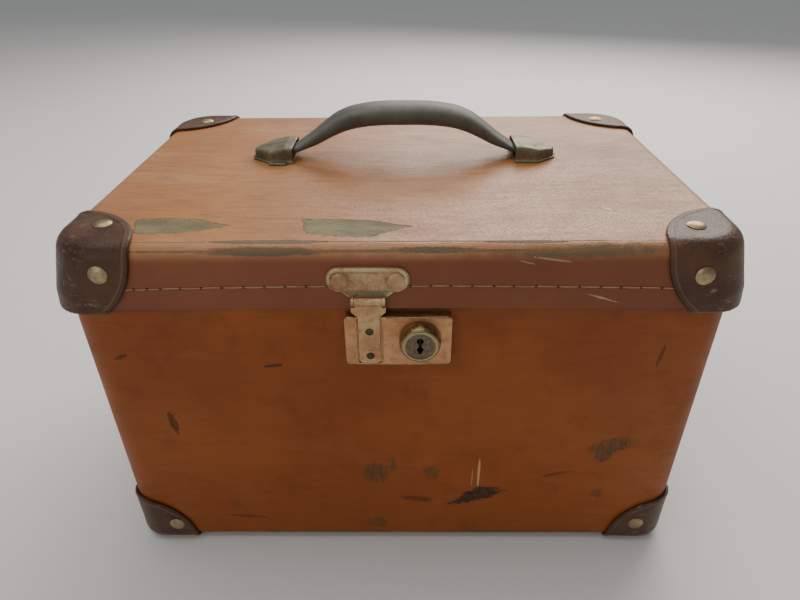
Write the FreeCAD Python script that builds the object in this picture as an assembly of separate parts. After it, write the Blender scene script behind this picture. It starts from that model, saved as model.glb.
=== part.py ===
import FreeCAD, Part
import math
import os
from FreeCAD import Vector as V, Placement, Rotation

os.makedirs("parts", exist_ok=True)

# ---------------------------------------------------------------- dimensions
# millimetres; +X right, front is -Y, +Z up; origin under the middle of the case
BODY_HX, BODY_HY = 169.8, 115.2      # outer half width and half depth of the body
BODY_R = 15.0                        # plan radius of its upright edges
BODY_Z0, BODY_Z1 = 2.1, 189.5        # underside of the floor, top of the rim
BODY_EDGE_R = 6.0                    # rounding between walls and floor
WALL = 2.5                           # fibre wall of the body
LID_HX, LID_HY = 173.4, 118.9        # outer half sizes of the lid at its lower edge
LID_R = 17.5
LID_R_TOP, LID_RZ = 28.0, 190.2      # plan radius at the lid's top, and where it starts to widen
LID_Z0, LID_Z1 = 180.5, 215.0        # lower edge and top of the lid
LID_DRAFT = 0.0833                   # inward lean of the skirt, mm per mm of height
LID_EDGE_R = 8.0                     # rounding between skirt and top
LID_WALL = 2.2
LID_TOP_T = 2.3
LINING = 0.8                         # lining cloth on paper
GLUE = 0.1                           # gap left between glued skins
LEATHER = 2.0                        # corner leather
CAP_R_LID = 43.5                     # reach of a lid corner from its vertex
CAP_R_BODY = 37.5
RIVET_R, RIVET_H, RIVET_SHANK = 4.7, 1.5, 1.6
WASHER_R, WASHER_T = 4.1, 0.8
HINGE_Y, HINGE_Z = 122.6, 178.5      # lid hinge axis, along X
HINGE_X = 95.0                       # centre of each hinge
HINGE_HALF = 20.0
KNUCKLE_R, PIN_R = 2.6, 1.25
LID_OPEN_DEG = 100.0
LOCK_HX, LOCK_Z0, LOCK_Z1 = 27.2, 149.3, 178.8
LOCK_FRONT = 121.0                   # distance of the lock plate's face from the centre plane
HASP_X = -14.6
HASP_TIP_Z = 151.2
BARREL_X, BARREL_Z = 11.0, 165.4
LOCK_TRAVEL = 5.5
BOLT_Y, BOLT_Z, BOLT_R = -118.6, 163.0, 0.9
HANDLE_X, HANDLE_Y = 2.8, 16.5
HANDLE_END = 98.0                    # half length over the hoods
TANG_Z = 219.2
STAY_R = 74.0                        # both stay pivots lie this far from the lid hinge
STAY_GAP_DEG = 26.0
STAY_X0, STAY_X1 = 162.5, 163.9
TRAY_HX, TRAY_HY = 154.0, 108.5
TRAY_Z0, TRAY_Z1 = 126.1, 166.0
MIRROR_HX, MIRROR_HY = 111.0, 71.0

ALPHA = math.degrees(math.atan(LID_DRAFT))


def vec(x, y, z):
    return V(x, y, z)


def box(x0, x1, y0, y1, z0, z1):
    return Part.makeBox(x1 - x0, y1 - y0, z1 - z0, V(x0, y0, z0))


def cyl(r, p, d, h):
    return Part.makeCylinder(r, h, V(*p), V(*d))


def rrect(hx, hy, r, z, cx=0.0, cy=0.0):
    """Rounded rectangle wire, counter-clockwise, lying flat at height z."""
    k = r * (1 - math.sqrt(0.5))
    e = []
    x0, x1, y0, y1 = cx - hx, cx + hx, cy - hy, cy + hy
    L = lambda a, b: Part.LineSegment(V(*a), V(*b)).toShape()
    A = lambda a, b, c: Part.Arc(V(*a), V(*b), V(*c)).toShape()
    e.append(L((x0 + r, y0, z), (x1 - r, y0, z)))
    e.append(A((x1 - r, y0, z), (x1 - k, y0 + k, z), (x1, y0 + r, z)))
    e.append(L((x1, y0 + r, z), (x1, y1 - r, z)))
    e.append(A((x1, y1 - r, z), (x1 - k, y1 - k, z), (x1 - r, y1, z)))
    e.append(L((x1 - r, y1, z), (x0 + r, y1, z)))
    e.append(A((x0 + r, y1, z), (x0 + k, y1 - k, z), (x0, y1 - r, z)))
    e.append(L((x0, y1 - r, z), (x0, y0 + r, z)))
    e.append(A((x0, y0 + r, z), (x0 + k, y0 + k, z), (x0 + r, y0, z)))
    return Part.Wire(e)


def prism(hx, hy, r, z0, z1, cx=0.0, cy=0.0):
    return Part.Face(rrect(hx, hy, r, z0, cx, cy)).extrude(V(0, 0, z1 - z0))


def edges_at(shape, z, tol=0.01):
    return [e for e in shape.Edges
            if abs(e.BoundBox.ZMin - z) < tol and abs(e.BoundBox.ZMax - z) < tol]


def poly_x(pts, x0, x1):
    """Polygon given as (y, z) points, extruded along X."""
    w = Part.makePolygon([V(x0, y, z) for y, z in pts] + [V(x0, *pts[0])])
    return Part.Face(w).extrude(V(x1 - x0, 0, 0))


def place(shape, p, rot):
    s = shape.copy()
    s.Placement = Placement(V(*p), rot)
    return s


def body_block(t, z1=BODY_Z1):
    """Outside of the body grown by t on its sides and floor (shrunk if negative)."""
    s = prism(BODY_HX + t, BODY_HY + t, BODY_R + t, BODY_Z0 - t, z1)
    return s.makeFillet(BODY_EDGE_R + t, edges_at(s, BODY_Z0 - t))


def lid_block(t, top, z0=LID_Z0):
    """Outside of the lid grown by t at the skirt and top mm upwards."""
    z1 = LID_Z1 + top
    def wire(z):
        k = LID_DRAFT * (z - LID_Z0)
        return rrect(LID_HX - k + t, LID_HY - k + t, lid_r(z) + t, z)
    if z0 < LID_RZ - 0.5:
        s = Part.makeLoft([wire(z0), wire(LID_RZ)], True, True).fuse(Part.makeLoft([wire(LID_RZ), wire(z1)], True, True))
        s = s.removeSplitter()
    else:
        s = Part.makeLoft([wire(z0), wire(z1)], True, True)
    return s.makeFillet(LID_EDGE_R + t, edges_at(s, z1))


def lid_r(z):
    """Plan radius of the lid's upright edges: even round the rim, wider towards the top."""
    r = LID_R - 0.058 * (min(z, LID_RZ) - LID_Z0)
    return r if z <= LID_RZ else r + (LID_R_TOP - r) * (z - LID_RZ) / (LID_Z1 - LID_RZ)


def lid_y(z):
    """Distance of the lid's front or back face from the centre plane at height z."""
    return LID_HY - LID_DRAFT * (z - LID_Z0)


def lid_x(z):
    return LID_HX - LID_DRAFT * (z - LID_Z0)


def turned(profile):
    """Solid of revolution about Z from closed (r, z) points; a triple is an arc's middle."""
    e = []
    i = 0
    n = len(profile)
    pts = profile + [profile[0]]
    while i < n:
        a = pts[i]
        b = pts[i + 1]
        if len(b) == 3:
            c = pts[i + 2]
            e.append(Part.Arc(V(a[0], 0, a[1]), V(b[0], 0, b[1]), V(c[0], 0, c[1])).toShape())
            i += 2
        else:
            e.append(Part.LineSegment(V(a[0], 0, a[1]), V(b[0], 0, b[1])).toShape())
            i += 1
    return Part.Face(Part.Wire(e)).revolve(V(0, 0, 0), V(0, 0, 1), 360)


def rivet(stack, rh=RIVET_R, hh=RIVET_H, rs=RIVET_SHANK, rt=2.6, ht=0.8):
    """Domed rivet; head seat at z = 0, head upwards, clenched tail at -stack."""
    return turned([(0, hh), (0.5, hh), (rh * 0.64, hh * 0.80, 0), (rh, 0.3), (rh, 0), (rs, 0),
                   (rs, -stack), (rt, -stack), (rt, -stack - ht * 0.45),
                   (rt * 0.7, -stack - ht * 0.85, 0), (0.4, -stack - ht), (0, -stack - ht)])


def at(shape, p, n):
    return place(shape, p, Rotation(V(0, 0, 1), V(*n)))


SAVED = []


def save(name, shape):
    vol = sum(s.Volume for s in shape.Solids)
    ok = shape.isValid() and vol > 0
    bb = shape.BoundBox
    SAVED.append(name)
    print("%-26s %s solids %2d vol %10.1f  x %7.1f %7.1f  y %7.1f %7.1f  z %6.1f %6.1f" % (
        name, "ok " if ok else "BAD", len(shape.Solids), vol,
        bb.XMin, bb.XMax, bb.YMin, bb.YMax, bb.ZMin, bb.ZMax))
    shape.exportStep("parts/%s.step" % name)


def group(shapes):
    return Part.makeCompound(shapes)


# ------------------------------------------------------------- rivet positions
# each entry: seat point, outward direction
na = (0, -math.cos(math.radians(ALPHA)), math.sin(math.radians(ALPHA)))   # lid front normal
low_rivets, low_flush, lid_rivets = [], [], []
WALL_IN = LEATHER + GLUE
# set by hand, so the two front corners differ a little
SPOT = {(-1, -1): (144.2, 16.8, 144.2, 202.4, 149.0, 93.0), (1, -1): (150.0, 18.0, 146.6, 200.9, 147.2, 97.5)}
for sx in (-1, 1):
    for sy in (-1, 1):
        lx, lz, fx, zf, tx, ty = SPOT.get((sx, sy), (148.0, 17.0, 146.0, 201.5, 148.0, 93.0))
        low_rivets.append(((sx * lx, sy * (BODY_HY + WALL_IN), lz), (0, sy, 0)))
        low_rivets.append(((sx * (BODY_HX + WALL_IN), sy * 94.0, 17.0), (sx, 0, 0)))
        low_flush.append(((sx * 148.0, sy * 94.0, 1.3), (0, 0, -1)))
        c, s = math.cos(math.radians(ALPHA)), math.sin(math.radians(ALPHA))
        lid_rivets.append(((sx * fx, sy * (lid_y(zf) + WALL_IN), zf), (0, sy * c, s)))
        lid_rivets.append(((sx * (lid_x(201.5) + WALL_IN), sy * 90.5, 201.5), (sx * c, 0, s)))
        lid_rivets.append(((sx * tx, sy * ty, LID_Z1 + WALL_IN), (0, 0, 1)))

LOW_STACK = LEATHER + GLUE + WALL + WASHER_T
LIDS_STACK = (WALL_IN + LID_WALL) * math.cos(math.radians(ALPHA)) + WASHER_T
LIDT_STACK = WALL_IN + LID_TOP_T + WASHER_T


def lid_stack(n):
    return LIDT_STACK if abs(n[2]) > 0.9 else LIDS_STACK


def shank_hole(p, n, stack, r=RIVET_SHANK + 0.05):
    q = V(*p) - V(*n) * (stack + 1.5)
    return Part.makeCylinder(r, stack + 3.0, q, V(*n))


def washer(p, n, stack):
    q = V(*p) - V(*n) * stack
    o = Part.makeCylinder(WASHER_R, WASHER_T, q, V(*n))
    return o.cut(Part.makeCylinder(RIVET_SHANK + 0.05, WASHER_T + 2, q - V(*n), V(*n)))


def lining_hole(p, n, stack, r=WASHER_R + 0.5):
    q = V(*p) - V(*n) * (stack + 3.0)
    return Part.makeCylinder(r, 3.0 + WASHER_T + 0.02, q, V(*n))


# ---------------------------------------------------------------- body shell
outer = body_block(0.0)
inner = body_block(-WALL, BODY_Z1 + 5)
body_shell = outer.cut(inner)
body_lining = body_block(-WALL - GLUE, BODY_Z1 - 3.5).cut(
    body_block(-WALL - GLUE - LINING, BODY_Z1 + 5))
shell_cuts, lining_cuts = [], []
for p, n in low_rivets:
    shell_cuts.append(shank_hole(p, n, LOW_STACK))
    lining_cuts.append(lining_hole(p, n, LOW_STACK))
FLUSH_STACK = BODY_Z0 + WALL + WASHER_T - 1.3
for p, n in low_flush:
    shell_cuts.append(shank_hole(p, n, FLUSH_STACK))
    lining_cuts.append(lining_hole(p, n, FLUSH_STACK))

# leather corners of the body
caps = body_block(LEATHER + GLUE, 60.0).cut(body_block(GLUE, 61.0))
low_cap = {}
for sx, sy, nm in ((-1, -1, "front_left"), (1, -1, "front_right"), (-1, 1, "back_left"), (1, 1, "back_right")):
    ball = Part.makeSphere(CAP_R_BODY, V(sx * BODY_HX, sy * BODY_HY, BODY_Z0))
    c = caps.common(ball)
    for p, n in low_rivets:
        if p[0] * sx > 0 and p[1] * sy > 0:
            c = c.cut(shank_hole(p, n, LOW_STACK))
    for p, n in low_flush:
        if p[0] * sx > 0 and p[1] * sy > 0:
            c = c.cut(shank_hole(p, n, FLUSH_STACK))
            c = c.cut(cyl(3.65, (p[0], p[1], -0.5), (0, 0, 1), 1.8))
    low_cap[nm] = c
    save("lower_corner_" + nm, c)

flush = turned([(0, 1.0), (3.2, 1.0), (3.55, 0.6), (3.55, 0), (RIVET_SHANK, 0), (RIVET_SHANK, -FLUSH_STACK),
                (2.6, -FLUSH_STACK), (2.6, -FLUSH_STACK - 0.4), (1.8, -FLUSH_STACK - 0.7, 0), (0.4, -FLUSH_STACK - 0.8), (0, -FLUSH_STACK - 0.8)])
save("lower_corner_rivets", group([at(rivet(LOW_STACK), p, n) for p, n in low_rivets]
                                  + [at(flush, p, n) for p, n in low_flush]))
save("lower_corner_washers", group([washer(p, n, LOW_STACK) for p, n in low_rivets]
                                   + [washer(p, n, FLUSH_STACK) for p, n in low_flush]))

# ------------------------------------------------------------------- hinges
hy, hz = HINGE_Y, HINGE_Z
body_leaf, lid_leaf, pins = [], [], []
body_hr, lid_hr = [], []
LEAF = 1.2
lid_solid = lid_block(0.0, 0.0)
for sx in (-1, 1):
    cx = sx * HINGE_X
    leaf = box(cx - HINGE_HALF, cx + HINGE_HALF, BODY_HY, BODY_HY + LEAF, 151.0, 169.0)
    parts = [leaf]
    for a, b in ((-HINGE_HALF, -7.0), (7.0, HINGE_HALF)):
        parts.append(poly_x([(BODY_HY, 168.0), (BODY_HY + LEAF, 167.0), (hy + 1.6, hz - 2.0), (hy - 1.6, hz + 1.2)],
                            cx + a, cx + b))
        parts.append(cyl(KNUCKLE_R, (cx + a, hy, hz), (1, 0, 0), b - a))
    s = parts[0].multiFuse(parts[1:])
    s = s.cut(cyl(PIN_R + 0.06, (cx - 30, hy, hz), (1, 0, 0), 60))
    rv = [(cx - 14.0, 156.0), (cx + 14.0, 156.0), (cx, 163.0)]
    for x, z in rv:
        body_hr.append(((x, BODY_HY + LEAF, z), (0, 1, 0)))
        s = s.cut(shank_hole((x, BODY_HY + LEAF, z), (0, 1, 0), 4.0, 1.35))
    body_leaf.append(s)
    # lid leaf lies on the leaning skirt
    rot = Rotation(V(1, 0, 0), ALPHA)
    fz = 182.2
    pl = place(box(-HINGE_HALF, HINGE_HALF, 0, LEAF, 0, 16.0), (cx, lid_y(fz), fz), rot)
    web = poly_x([(lid_y(181.4) + 0.02, 181.4), (lid_y(186.5) + LEAF, 186.5), (hy + 1.9, hz + 1.6), (hy - 1.2, hz - 2.1)],
                 cx - 6.7, cx + 6.7)
    kn = cyl(KNUCKLE_R, (cx - 6.7, hy, hz), (1, 0, 0), 13.4)
    s = pl.multiFuse([web, kn])
    s = s.cut(cyl(PIN_R + 0.06, (cx - 30, hy, hz), (1, 0, 0), 60))
    s = s.cut(lid_solid)
    for x, dz in ((cx - 14.0, 10.5), (cx + 14.0, 10.5), (cx, 12.0)):
        q = V(x, lid_y(fz), fz) + rot.multVec(V(0, LEAF, dz))
        n = rot.multVec(V(0, 1, 0))
        lid_hr.append(((q.x, q.y, q.z), (n.x, n.y, n.z)))
        s = s.cut(shank_hole((q.x, q.y, q.z), (n.x, n.y, n.z), 4.0, 1.35))
    lid_leaf.append(s)
    pin = cyl(PIN_R, (cx - HINGE_HALF - 0.4, hy, hz), (1, 0, 0), 2 * HINGE_HALF + 0.8)
    pins.append(pin)
save("hinge_body_leaf_left", body_leaf[0])
save("hinge_body_leaf_right", body_leaf[1])
save("hinge_lid_leaf_left", lid_leaf[0])
save("hinge_lid_leaf_right", lid_leaf[1])
save("hinge_pins", group(pins))
HB_STACK = LEAF + WALL
HL_STACK = LEAF + LID_WALL * math.cos(math.radians(ALPHA))
small = lambda st: rivet(st, 2.5, 1.0, 1.3, 2.1, 0.6)
save("hinge_body_rivets", group([at(small(HB_STACK), p, n) for p, n in body_hr]))
save("hinge_lid_rivets", group([at(small(HL_STACK), p, n) for p, n in lid_hr]))
for p, n in body_hr:
    shell_cuts.append(shank_hole(p, n, HB_STACK, 1.35))
    lining_cuts.append(lining_hole(p, n, HB_STACK, 2.6))

# ---------------------------------------------------------------------- lock
F = LOCK_FRONT
w = []
plate = Part.Face(Part.makePolygon([V(-LOCK_HX, -F, LOCK_Z0), V(LOCK_HX, -F, LOCK_Z0), V(LOCK_HX, -F, LOCK_Z1),
                                    V(-LOCK_HX, -F, LOCK_Z1), V(-LOCK_HX, -F, LOCK_Z0)])).extrude(V(0, F - BODY_HY, 0))
vert = [e for e in plate.Edges if e.BoundBox.YLength > 1.0]
plate = plate.makeFillet(2.2, vert)
fr = [e for e in plate.Edges if abs(e.BoundBox.YMin + F) < 0.01 and abs(e.BoundBox.YMax + F) < 0.01]
plate = plate.makeFillet(0.7, fr)
CH0, CH1 = HASP_X - 5.9, HASP_X + 5.9          # channel for the hasp's tongue
LG0, LG1 = HASP_X - 2.8, HASP_X + 2.8          # deeper channel for its lug
plate = plate.cut(box(CH0, CH1, -F - 1, -F + 1.0, LOCK_Z0 + 1.2, LOCK_Z1 + 1))
plate = plate.cut(box(LG0, LG1, -F - 1, -BODY_HY + 1, 155.5, LOCK_Z1 + 1))
plate = plate.cut(box(CH1 + 1.5, LOCK_HX - 1.4, -F + 1.2, -BODY_HY + 1, LOCK_Z0 + 1.4, LOCK_Z1 - 1.4))
for z in (154.0, 174.2):
    plate = plate.fuse(cyl(2.5, (22.8, -F + 0.6, z), (0, 1, 0), F - BODY_HY - 0.6))
# slot for the barrel's neck
n0, n1 = BARREL_X - LOCK_TRAVEL, BARREL_X
NECK_R = 3.4
slot = box(n0, n1, -F - 1, -F + 2, BARREL_Z - NECK_R - 0.15, BARREL_Z + NECK_R + 0.15)
for x in (n0, n1):
    slot = slot.fuse(cyl(NECK_R + 0.15, (x, -F - 1, BARREL_Z), (0, 1, 0), 3.0))
plate = plate.cut(slot)
# passage for the bolt, on both sides of the lug channel
plate = plate.cut(cyl(BOLT_R + 0.1, (LG0 - 1.2, BOLT_Y, BOLT_Z), (1, 0, 0), CH1 + 2.0 - LG0 + 1.2))
posts = [(-23.9, 154.0), (-23.9, 174.2), (22.8, 154.0), (22.8, 174.2)]
for x, z in posts:
    plate = plate.cut(cyl(1.25, (x, -F + 2.5, z), (0, 1, 0), 6))
    shell_cuts.append(cyl(1.25, (x, -BODY_HY - 1, z), (0, 1, 0), 5))
save("lock_plate", plate)
bx = BODY_HY - WALL
back = box(-25.5, 24.5, -bx, -bx + 1.0, 151.5, 176.5)
lock_rivets = []
for x, z in posts:
    back = back.cut(cyl(1.25, (x, -bx - 1, z), (0, 1, 0), 4))
    r = cyl(1.2, (x, -F + 2.6, z), (0, 1, 0), F - 2.6 - bx + 1.0)
    r = r.fuse(cyl(2.0, (x, -bx + 1.0, z), (0, 1, 0), 0.6))
    lock_rivets.append(r)
save("lock_back_plate", back)
save("lock_rivets", group(lock_rivets))
lining_cuts.append(box(-26.2, 25.2, -bx - 0.2, -bx + 3.5, 150.8, 177.2))

# sliding barrel: domed head, neck, carriage and bolt
PLUG_R = 7.8
head = turned([(0, 0), (10.7, 0), (10.7, 0.9), (10.45, 3.5, 0), (9.75, 5.6), (9.45, 6.2, 0), (8.85, 6.35),
               (PLUG_R + 0.06, 6.35), (PLUG_R + 0.06, 1.1), (0, 1.1)])
barrel = at(head, (BARREL_X, -F - 0.3, BARREL_Z), (0, -1, 0))
neck = cyl(NECK_R, (BARREL_X, -F - 0.8, BARREL_Z), (0, 1, 0), 3.0)
carriage = box(BARREL_X - 8.5, BARREL_X + 8.5, -119.5, -117.7, BARREL_Z - 7.5, BARREL_Z + 7.5)
barrel = barrel.multiFuse([neck, carriage])
barrel = barrel.cut(cyl(1.36, (BARREL_X, -130, BARREL_Z), (0, 1, 0), 14))
save("lock_barrel", barrel)
bolt = cyl(BOLT_R, (LG1 + 0.3, BOLT_Y, BOLT_Z), (1, 0, 0), BARREL_X - 8.5 - LG1 - 0.3)
bolt = bolt.fuse(box(BARREL_X - 10.0, BARREL_X - 8.5, -119.4, -117.8, BOLT_Z - 1.6, BOLT_Z + 1.6))
save("lock_bolt", bolt)
plug = turned([(0, 0), (PLUG_R, 0), (PLUG_R, -0.0 - 4.6), (1.3, -4.6), (1.3, -10.6), (0, -10.6)])
plug = at(plug, (BARREL_X, -F - 0.3 - 5.75, BARREL_Z), (0, -1, 0))
plug = plug.cut(box(BARREL_X - 0.85, BARREL_X + 0.85, -130, -124.0, BARREL_Z - 4.9, BARREL_Z + 2.6))
plug = plug.cut(cyl(1.75, (BARREL_X, -130, BARREL_Z + 2.9), (0, 1, 0), 6.0))
plug = plug.cut(cyl(1.65, (BARREL_X, -130, BARREL_Z - 2.2), (0, 1, 0), 6.0))
save("lock_plug", plug)
cam = box(BARREL_X - 1.6, BARREL_X + 1.6, -117.4, -116.6, BARREL_Z - 6.0, BARREL_Z)
cam = cam.fuse(cyl(2.8, (BARREL_X, -117.4, BARREL_Z), (0, 1, 0), 0.8))
cam = cam.cut(cyl(1.35, (BARREL_X, -119, BARREL_Z), (0, 1, 0), 4))
save("lock_cam", cam)

# ------------------------------------------------------------ hasp on the lid
rotf = Rotation(V(1, 0, 0), -ALPHA)
BZ = 192.7
BO = V(HASP_X, -lid_y(BZ), BZ)
stad = Part.Face(Part.makePolygon([V(-20.2, 0, 0), V(20.2, 0, 0), V(20.2, 0, 12.6), V(-20.2, 0, 12.6), V(-20.2, 0, 0)]))
stad = stad.extrude(V(0, -1.6, 0))
stad = stad.makeFillet(6.0, [e for e in stad.Edges if e.BoundBox.YLength > 1.0])
neckp = Part.Face(Part.makePolygon([V(-13.4, 0, 0.6), V(-8.4, 0, -3.6), V(8.4, 0, -3.6), V(13.4, 0, 0.6), V(-13.4, 0, 0.6)]))
neckp = neckp.extrude(V(0, -1.6, 0))
AX_L = V(0, -2.7, -5.2)
KR = 2.3
ears = []
for a, b in ((-8.4, -6.9), (6.9, 8.4)):
    ears.append(cyl(KR, (a, AX_L.y, AX_L.z), (1, 0, 0), b - a))
    ears.append(box(a, b, AX_L.y - 0.2, -0.02, AX_L.z, -2.6))
bracket = stad.multiFuse([neckp] + ears)
topf = [e for e in stad.Edges]
bracket = bracket.cut(cyl(0.95, (-20, AX_L.y, AX_L.z), (1, 0, 0), 40))
bracket = bracket.cut(cyl(KR + 0.2, (-6.85, AX_L.y, AX_L.z), (1, 0, 0), 13.7))
for dx in (-14.0, 14.0):
    bracket = bracket.cut(cyl(1.35, (dx, -5, 5.4), (0, 1, 0), 10))
bracket = place(bracket, (BO.x, BO.y, BO.z), rotf)
save("hasp_bracket", bracket)
hasp_pin = place(cyl(0.9, (-8.7, AX_L.y, AX_L.z), (1, 0, 0), 17.4), (BO.x, BO.y, BO.z), rotf)
save("hasp_pin", hasp_pin)
hasp_r = []
HR_STACK = 1.6 + LID_WALL * math.cos(math.radians(ALPHA))
for dx in (-14.0, 14.0):
    q = BO + rotf.multVec(V(dx, -1.6, 5.4))
    n = rotf.multVec(V(0, -1, 0))
    hasp_r.append(((q.x, q.y, q.z), (n.x, n.y, n.z)))
save("hasp_bracket_rivets", group([at(rivet(HR_STACK, 4.3, 1.1, 1.3, 2.1, 0.6), p, n) for p, n in hasp_r]))
AX = BO + rotf.multVec(AX_L)          # hasp axis
print("hasp axis", AX)
# tongue: knuckle, shoulders, strap; it hangs upright
TY0, TY1 = -F - 0.9, -F + 0.7
tongue = cyl(KR, (AX.x - 6.7, AX.y, AX.z), (1, 0, 0), 13.4)
pts = [(-6.7, AX.z), (-6.7, AX.z - 2.75), (-8.6, AX.z - 2.75), (-8.6, AX.z - 5.4), (-5.4, 179.3), (-5.4, HASP_TIP_Z + 1.4),
       (-4.1, HASP_TIP_Z), (4.1, HASP_TIP_Z), (5.4, HASP_TIP_Z + 1.4), (5.4, 179.3), (8.6, AX.z - 5.4), (8.6, AX.z - 2.75),
       (6.7, AX.z - 2.75), (6.7, AX.z)]
strap = Part.Face(Part.makePolygon([V(AX.x + x, TY0, z) for x, z in pts] + [V(AX.x + pts[0][0], TY0, pts[0][1])]))
strap = strap.extrude(V(0, TY1 - TY0, 0))
tongue = tongue.fuse(strap)
tongue = tongue.cut(cyl(0.97, (AX.x - 20, AX.y, AX.z), (1, 0, 0), 40))
for z in (170.6, 155.6):
    tongue = tongue.cut(cyl(1.3, (HASP_X + 0.2, -130, z), (0, 1, 0), 20))
    tongue = tongue.cut(cyl(2.15, (HASP_X + 0.2, TY0 - 1, z), (0, 1, 0), 1.9))
save("hasp_tongue", tongue)
# lug behind the tongue, with an eye for the bolt
lug = box(HASP_X - 2.3, HASP_X + 2.3, TY1, -115.9, 157.9, 168.1)
foot = box(HASP_X - 2.3, HASP_X + 2.3, TY1, TY1 + 0.9, 156.2, 172.9)
lug = lug.fuse(foot)
lug = lug.cut(cyl(1.25, (HASP_X - 10, BOLT_Y, BOLT_Z), (1, 0, 0), 20))
for z in (170.6,):
    lug = lug.cut(cyl(1.35, (HASP_X + 0.2, -130, z), (0, 1, 0), 20))
save("hasp_lug", lug)
lug_r = [cyl(1.25, (HASP_X + 0.2, TY0 + 0.4, 170.6), (0, 1, 0), TY1 + 1.0 - TY0 - 0.4).fuse(cyl(2.1, (HASP_X + 0.2, TY0 + 0.5, 170.6), (0, 1, 0), 0.4)),
         cyl(1.25, (HASP_X + 0.2, TY0 + 0.4, 155.6), (0, 1, 0), TY1 - TY0 - 0.4).fuse(cyl(2.1, (HASP_X + 0.2, TY0 + 0.5, 155.6), (0, 1, 0), 0.4))]
save("hasp_lug_rivets", group(lug_r))

# ------------------------------------------------------------------- handle
PATH = [(0, 28.0), (12, 28.0), (22, 27.3), (33, 25.4), (41, 22.5), (49, 17.8), (57, 12.6), (63, 9.6), (68, 7.0), (74, 4.2)]
SEMI = [(12.5, 6.8), (12.5, 6.8), (12.4, 6.7), (12.2, 6.5), (11.6, 6.0), (10.8, 5.0), (10.0, 4.1), (9.4, 3.2), (9.0, 2.3), (8.8, 1.6)]
secs = []
full = [(-x, z, a, b) for (x, z), (a, b) in zip(PATH, SEMI)][::-1][:-1] + [(x, z, a, b) for (x, z), (a, b) in zip(PATH, SEMI)]
for i, (x, z, a, b) in enumerate(full):
    p0 = full[max(i - 1, 0)]
    p1 = full[min(i + 1, len(full) - 1)]
    if i in (0, len(full) - 1):
        t = V(1, 0, 0)
    else:
        t = V(p1[0] - p0[0], 0, p1[1] - p0[1]).normalize()
    nrm = V(-t.z, 0, t.x)
    c = V(HANDLE_X + x, HANDLE_Y, LID_Z1 + z)
    el = Part.Ellipse(c + V(0, a, 0), c + nrm * b, c)
    secs.append(Part.Wire(el.toShape()))
grip = Part.makeLoft(secs, True, False)
up, lo = [], []
core_path = [(-91.0, TANG_Z - LID_Z1)] + [(-x, z) for x, z in PATH][::-1][:-1] + PATH + [(91.0, TANG_Z - LID_Z1)]
for i, (x, z) in enumerate(core_path):
    p0 = core_path[max(i - 1, 0)]
    p1 = core_path[min(i + 1, len(core_path) - 1)]
    t = V(p1[0] - p0[0], 0, p1[1] - p0[1]).normalize()
    nrm = V(-t.z, 0, t.x) * 0.7
    up.append(V(HANDLE_X + x + nrm.x, HANDLE_Y - 7, LID_Z1 + z + nrm.z))
    lo.append(V(HANDLE_X + x - nrm.x, HANDLE_Y - 7, LID_Z1 + z - nrm.z))
core = Part.Face(Part.makePolygon(up + lo[::-1] + [up[0]])).extrude(V(0, 14, 0))
for sx in (-1, 1):
    cx = HANDLE_X + sx * 86.0
    inn, outn = cx - sx * 2.5, cx + sx * 0.8
    core = core.cut(box(min(inn, outn), max(inn, outn), HANDLE_Y - 2.4, HANDLE_Y + 2.4, TANG_Z - 4, TANG_Z + 4))
    for q in (inn, outn):
        core = core.cut(cyl(2.4, (q, HANDLE_Y, TANG_Z - 4), (0, 0, 1), 8))
    for y in (-8.0, 5.0):
        a, b = HANDLE_X + sx * 84.0, HANDLE_X + sx * 95.0
        core = core.cut(box(min(a, b), max(a, b), HANDLE_Y + y, HANDLE_Y + y + 3.0, TANG_Z - 4, TANG_Z + 4))
grip = grip.cut(core)
save("handle_grip", grip)
save("handle_core", core)

hoods, plates_b, plates_u, hposts = [], [], [], []
lid_cuts = []
lid_lining_cuts = []


def hood_outline(g, z):
    p = [(70.5, -14.5 - g), (85.5, -14.5 - g), (96.2 + g, -5.2 - g * 0.4), (97.6 + g, 0), (96.2 + g, 5.2 + g * 0.4), (85.5, 14.5 + g), (70.5, 14.5 + g)]
    return p


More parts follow.
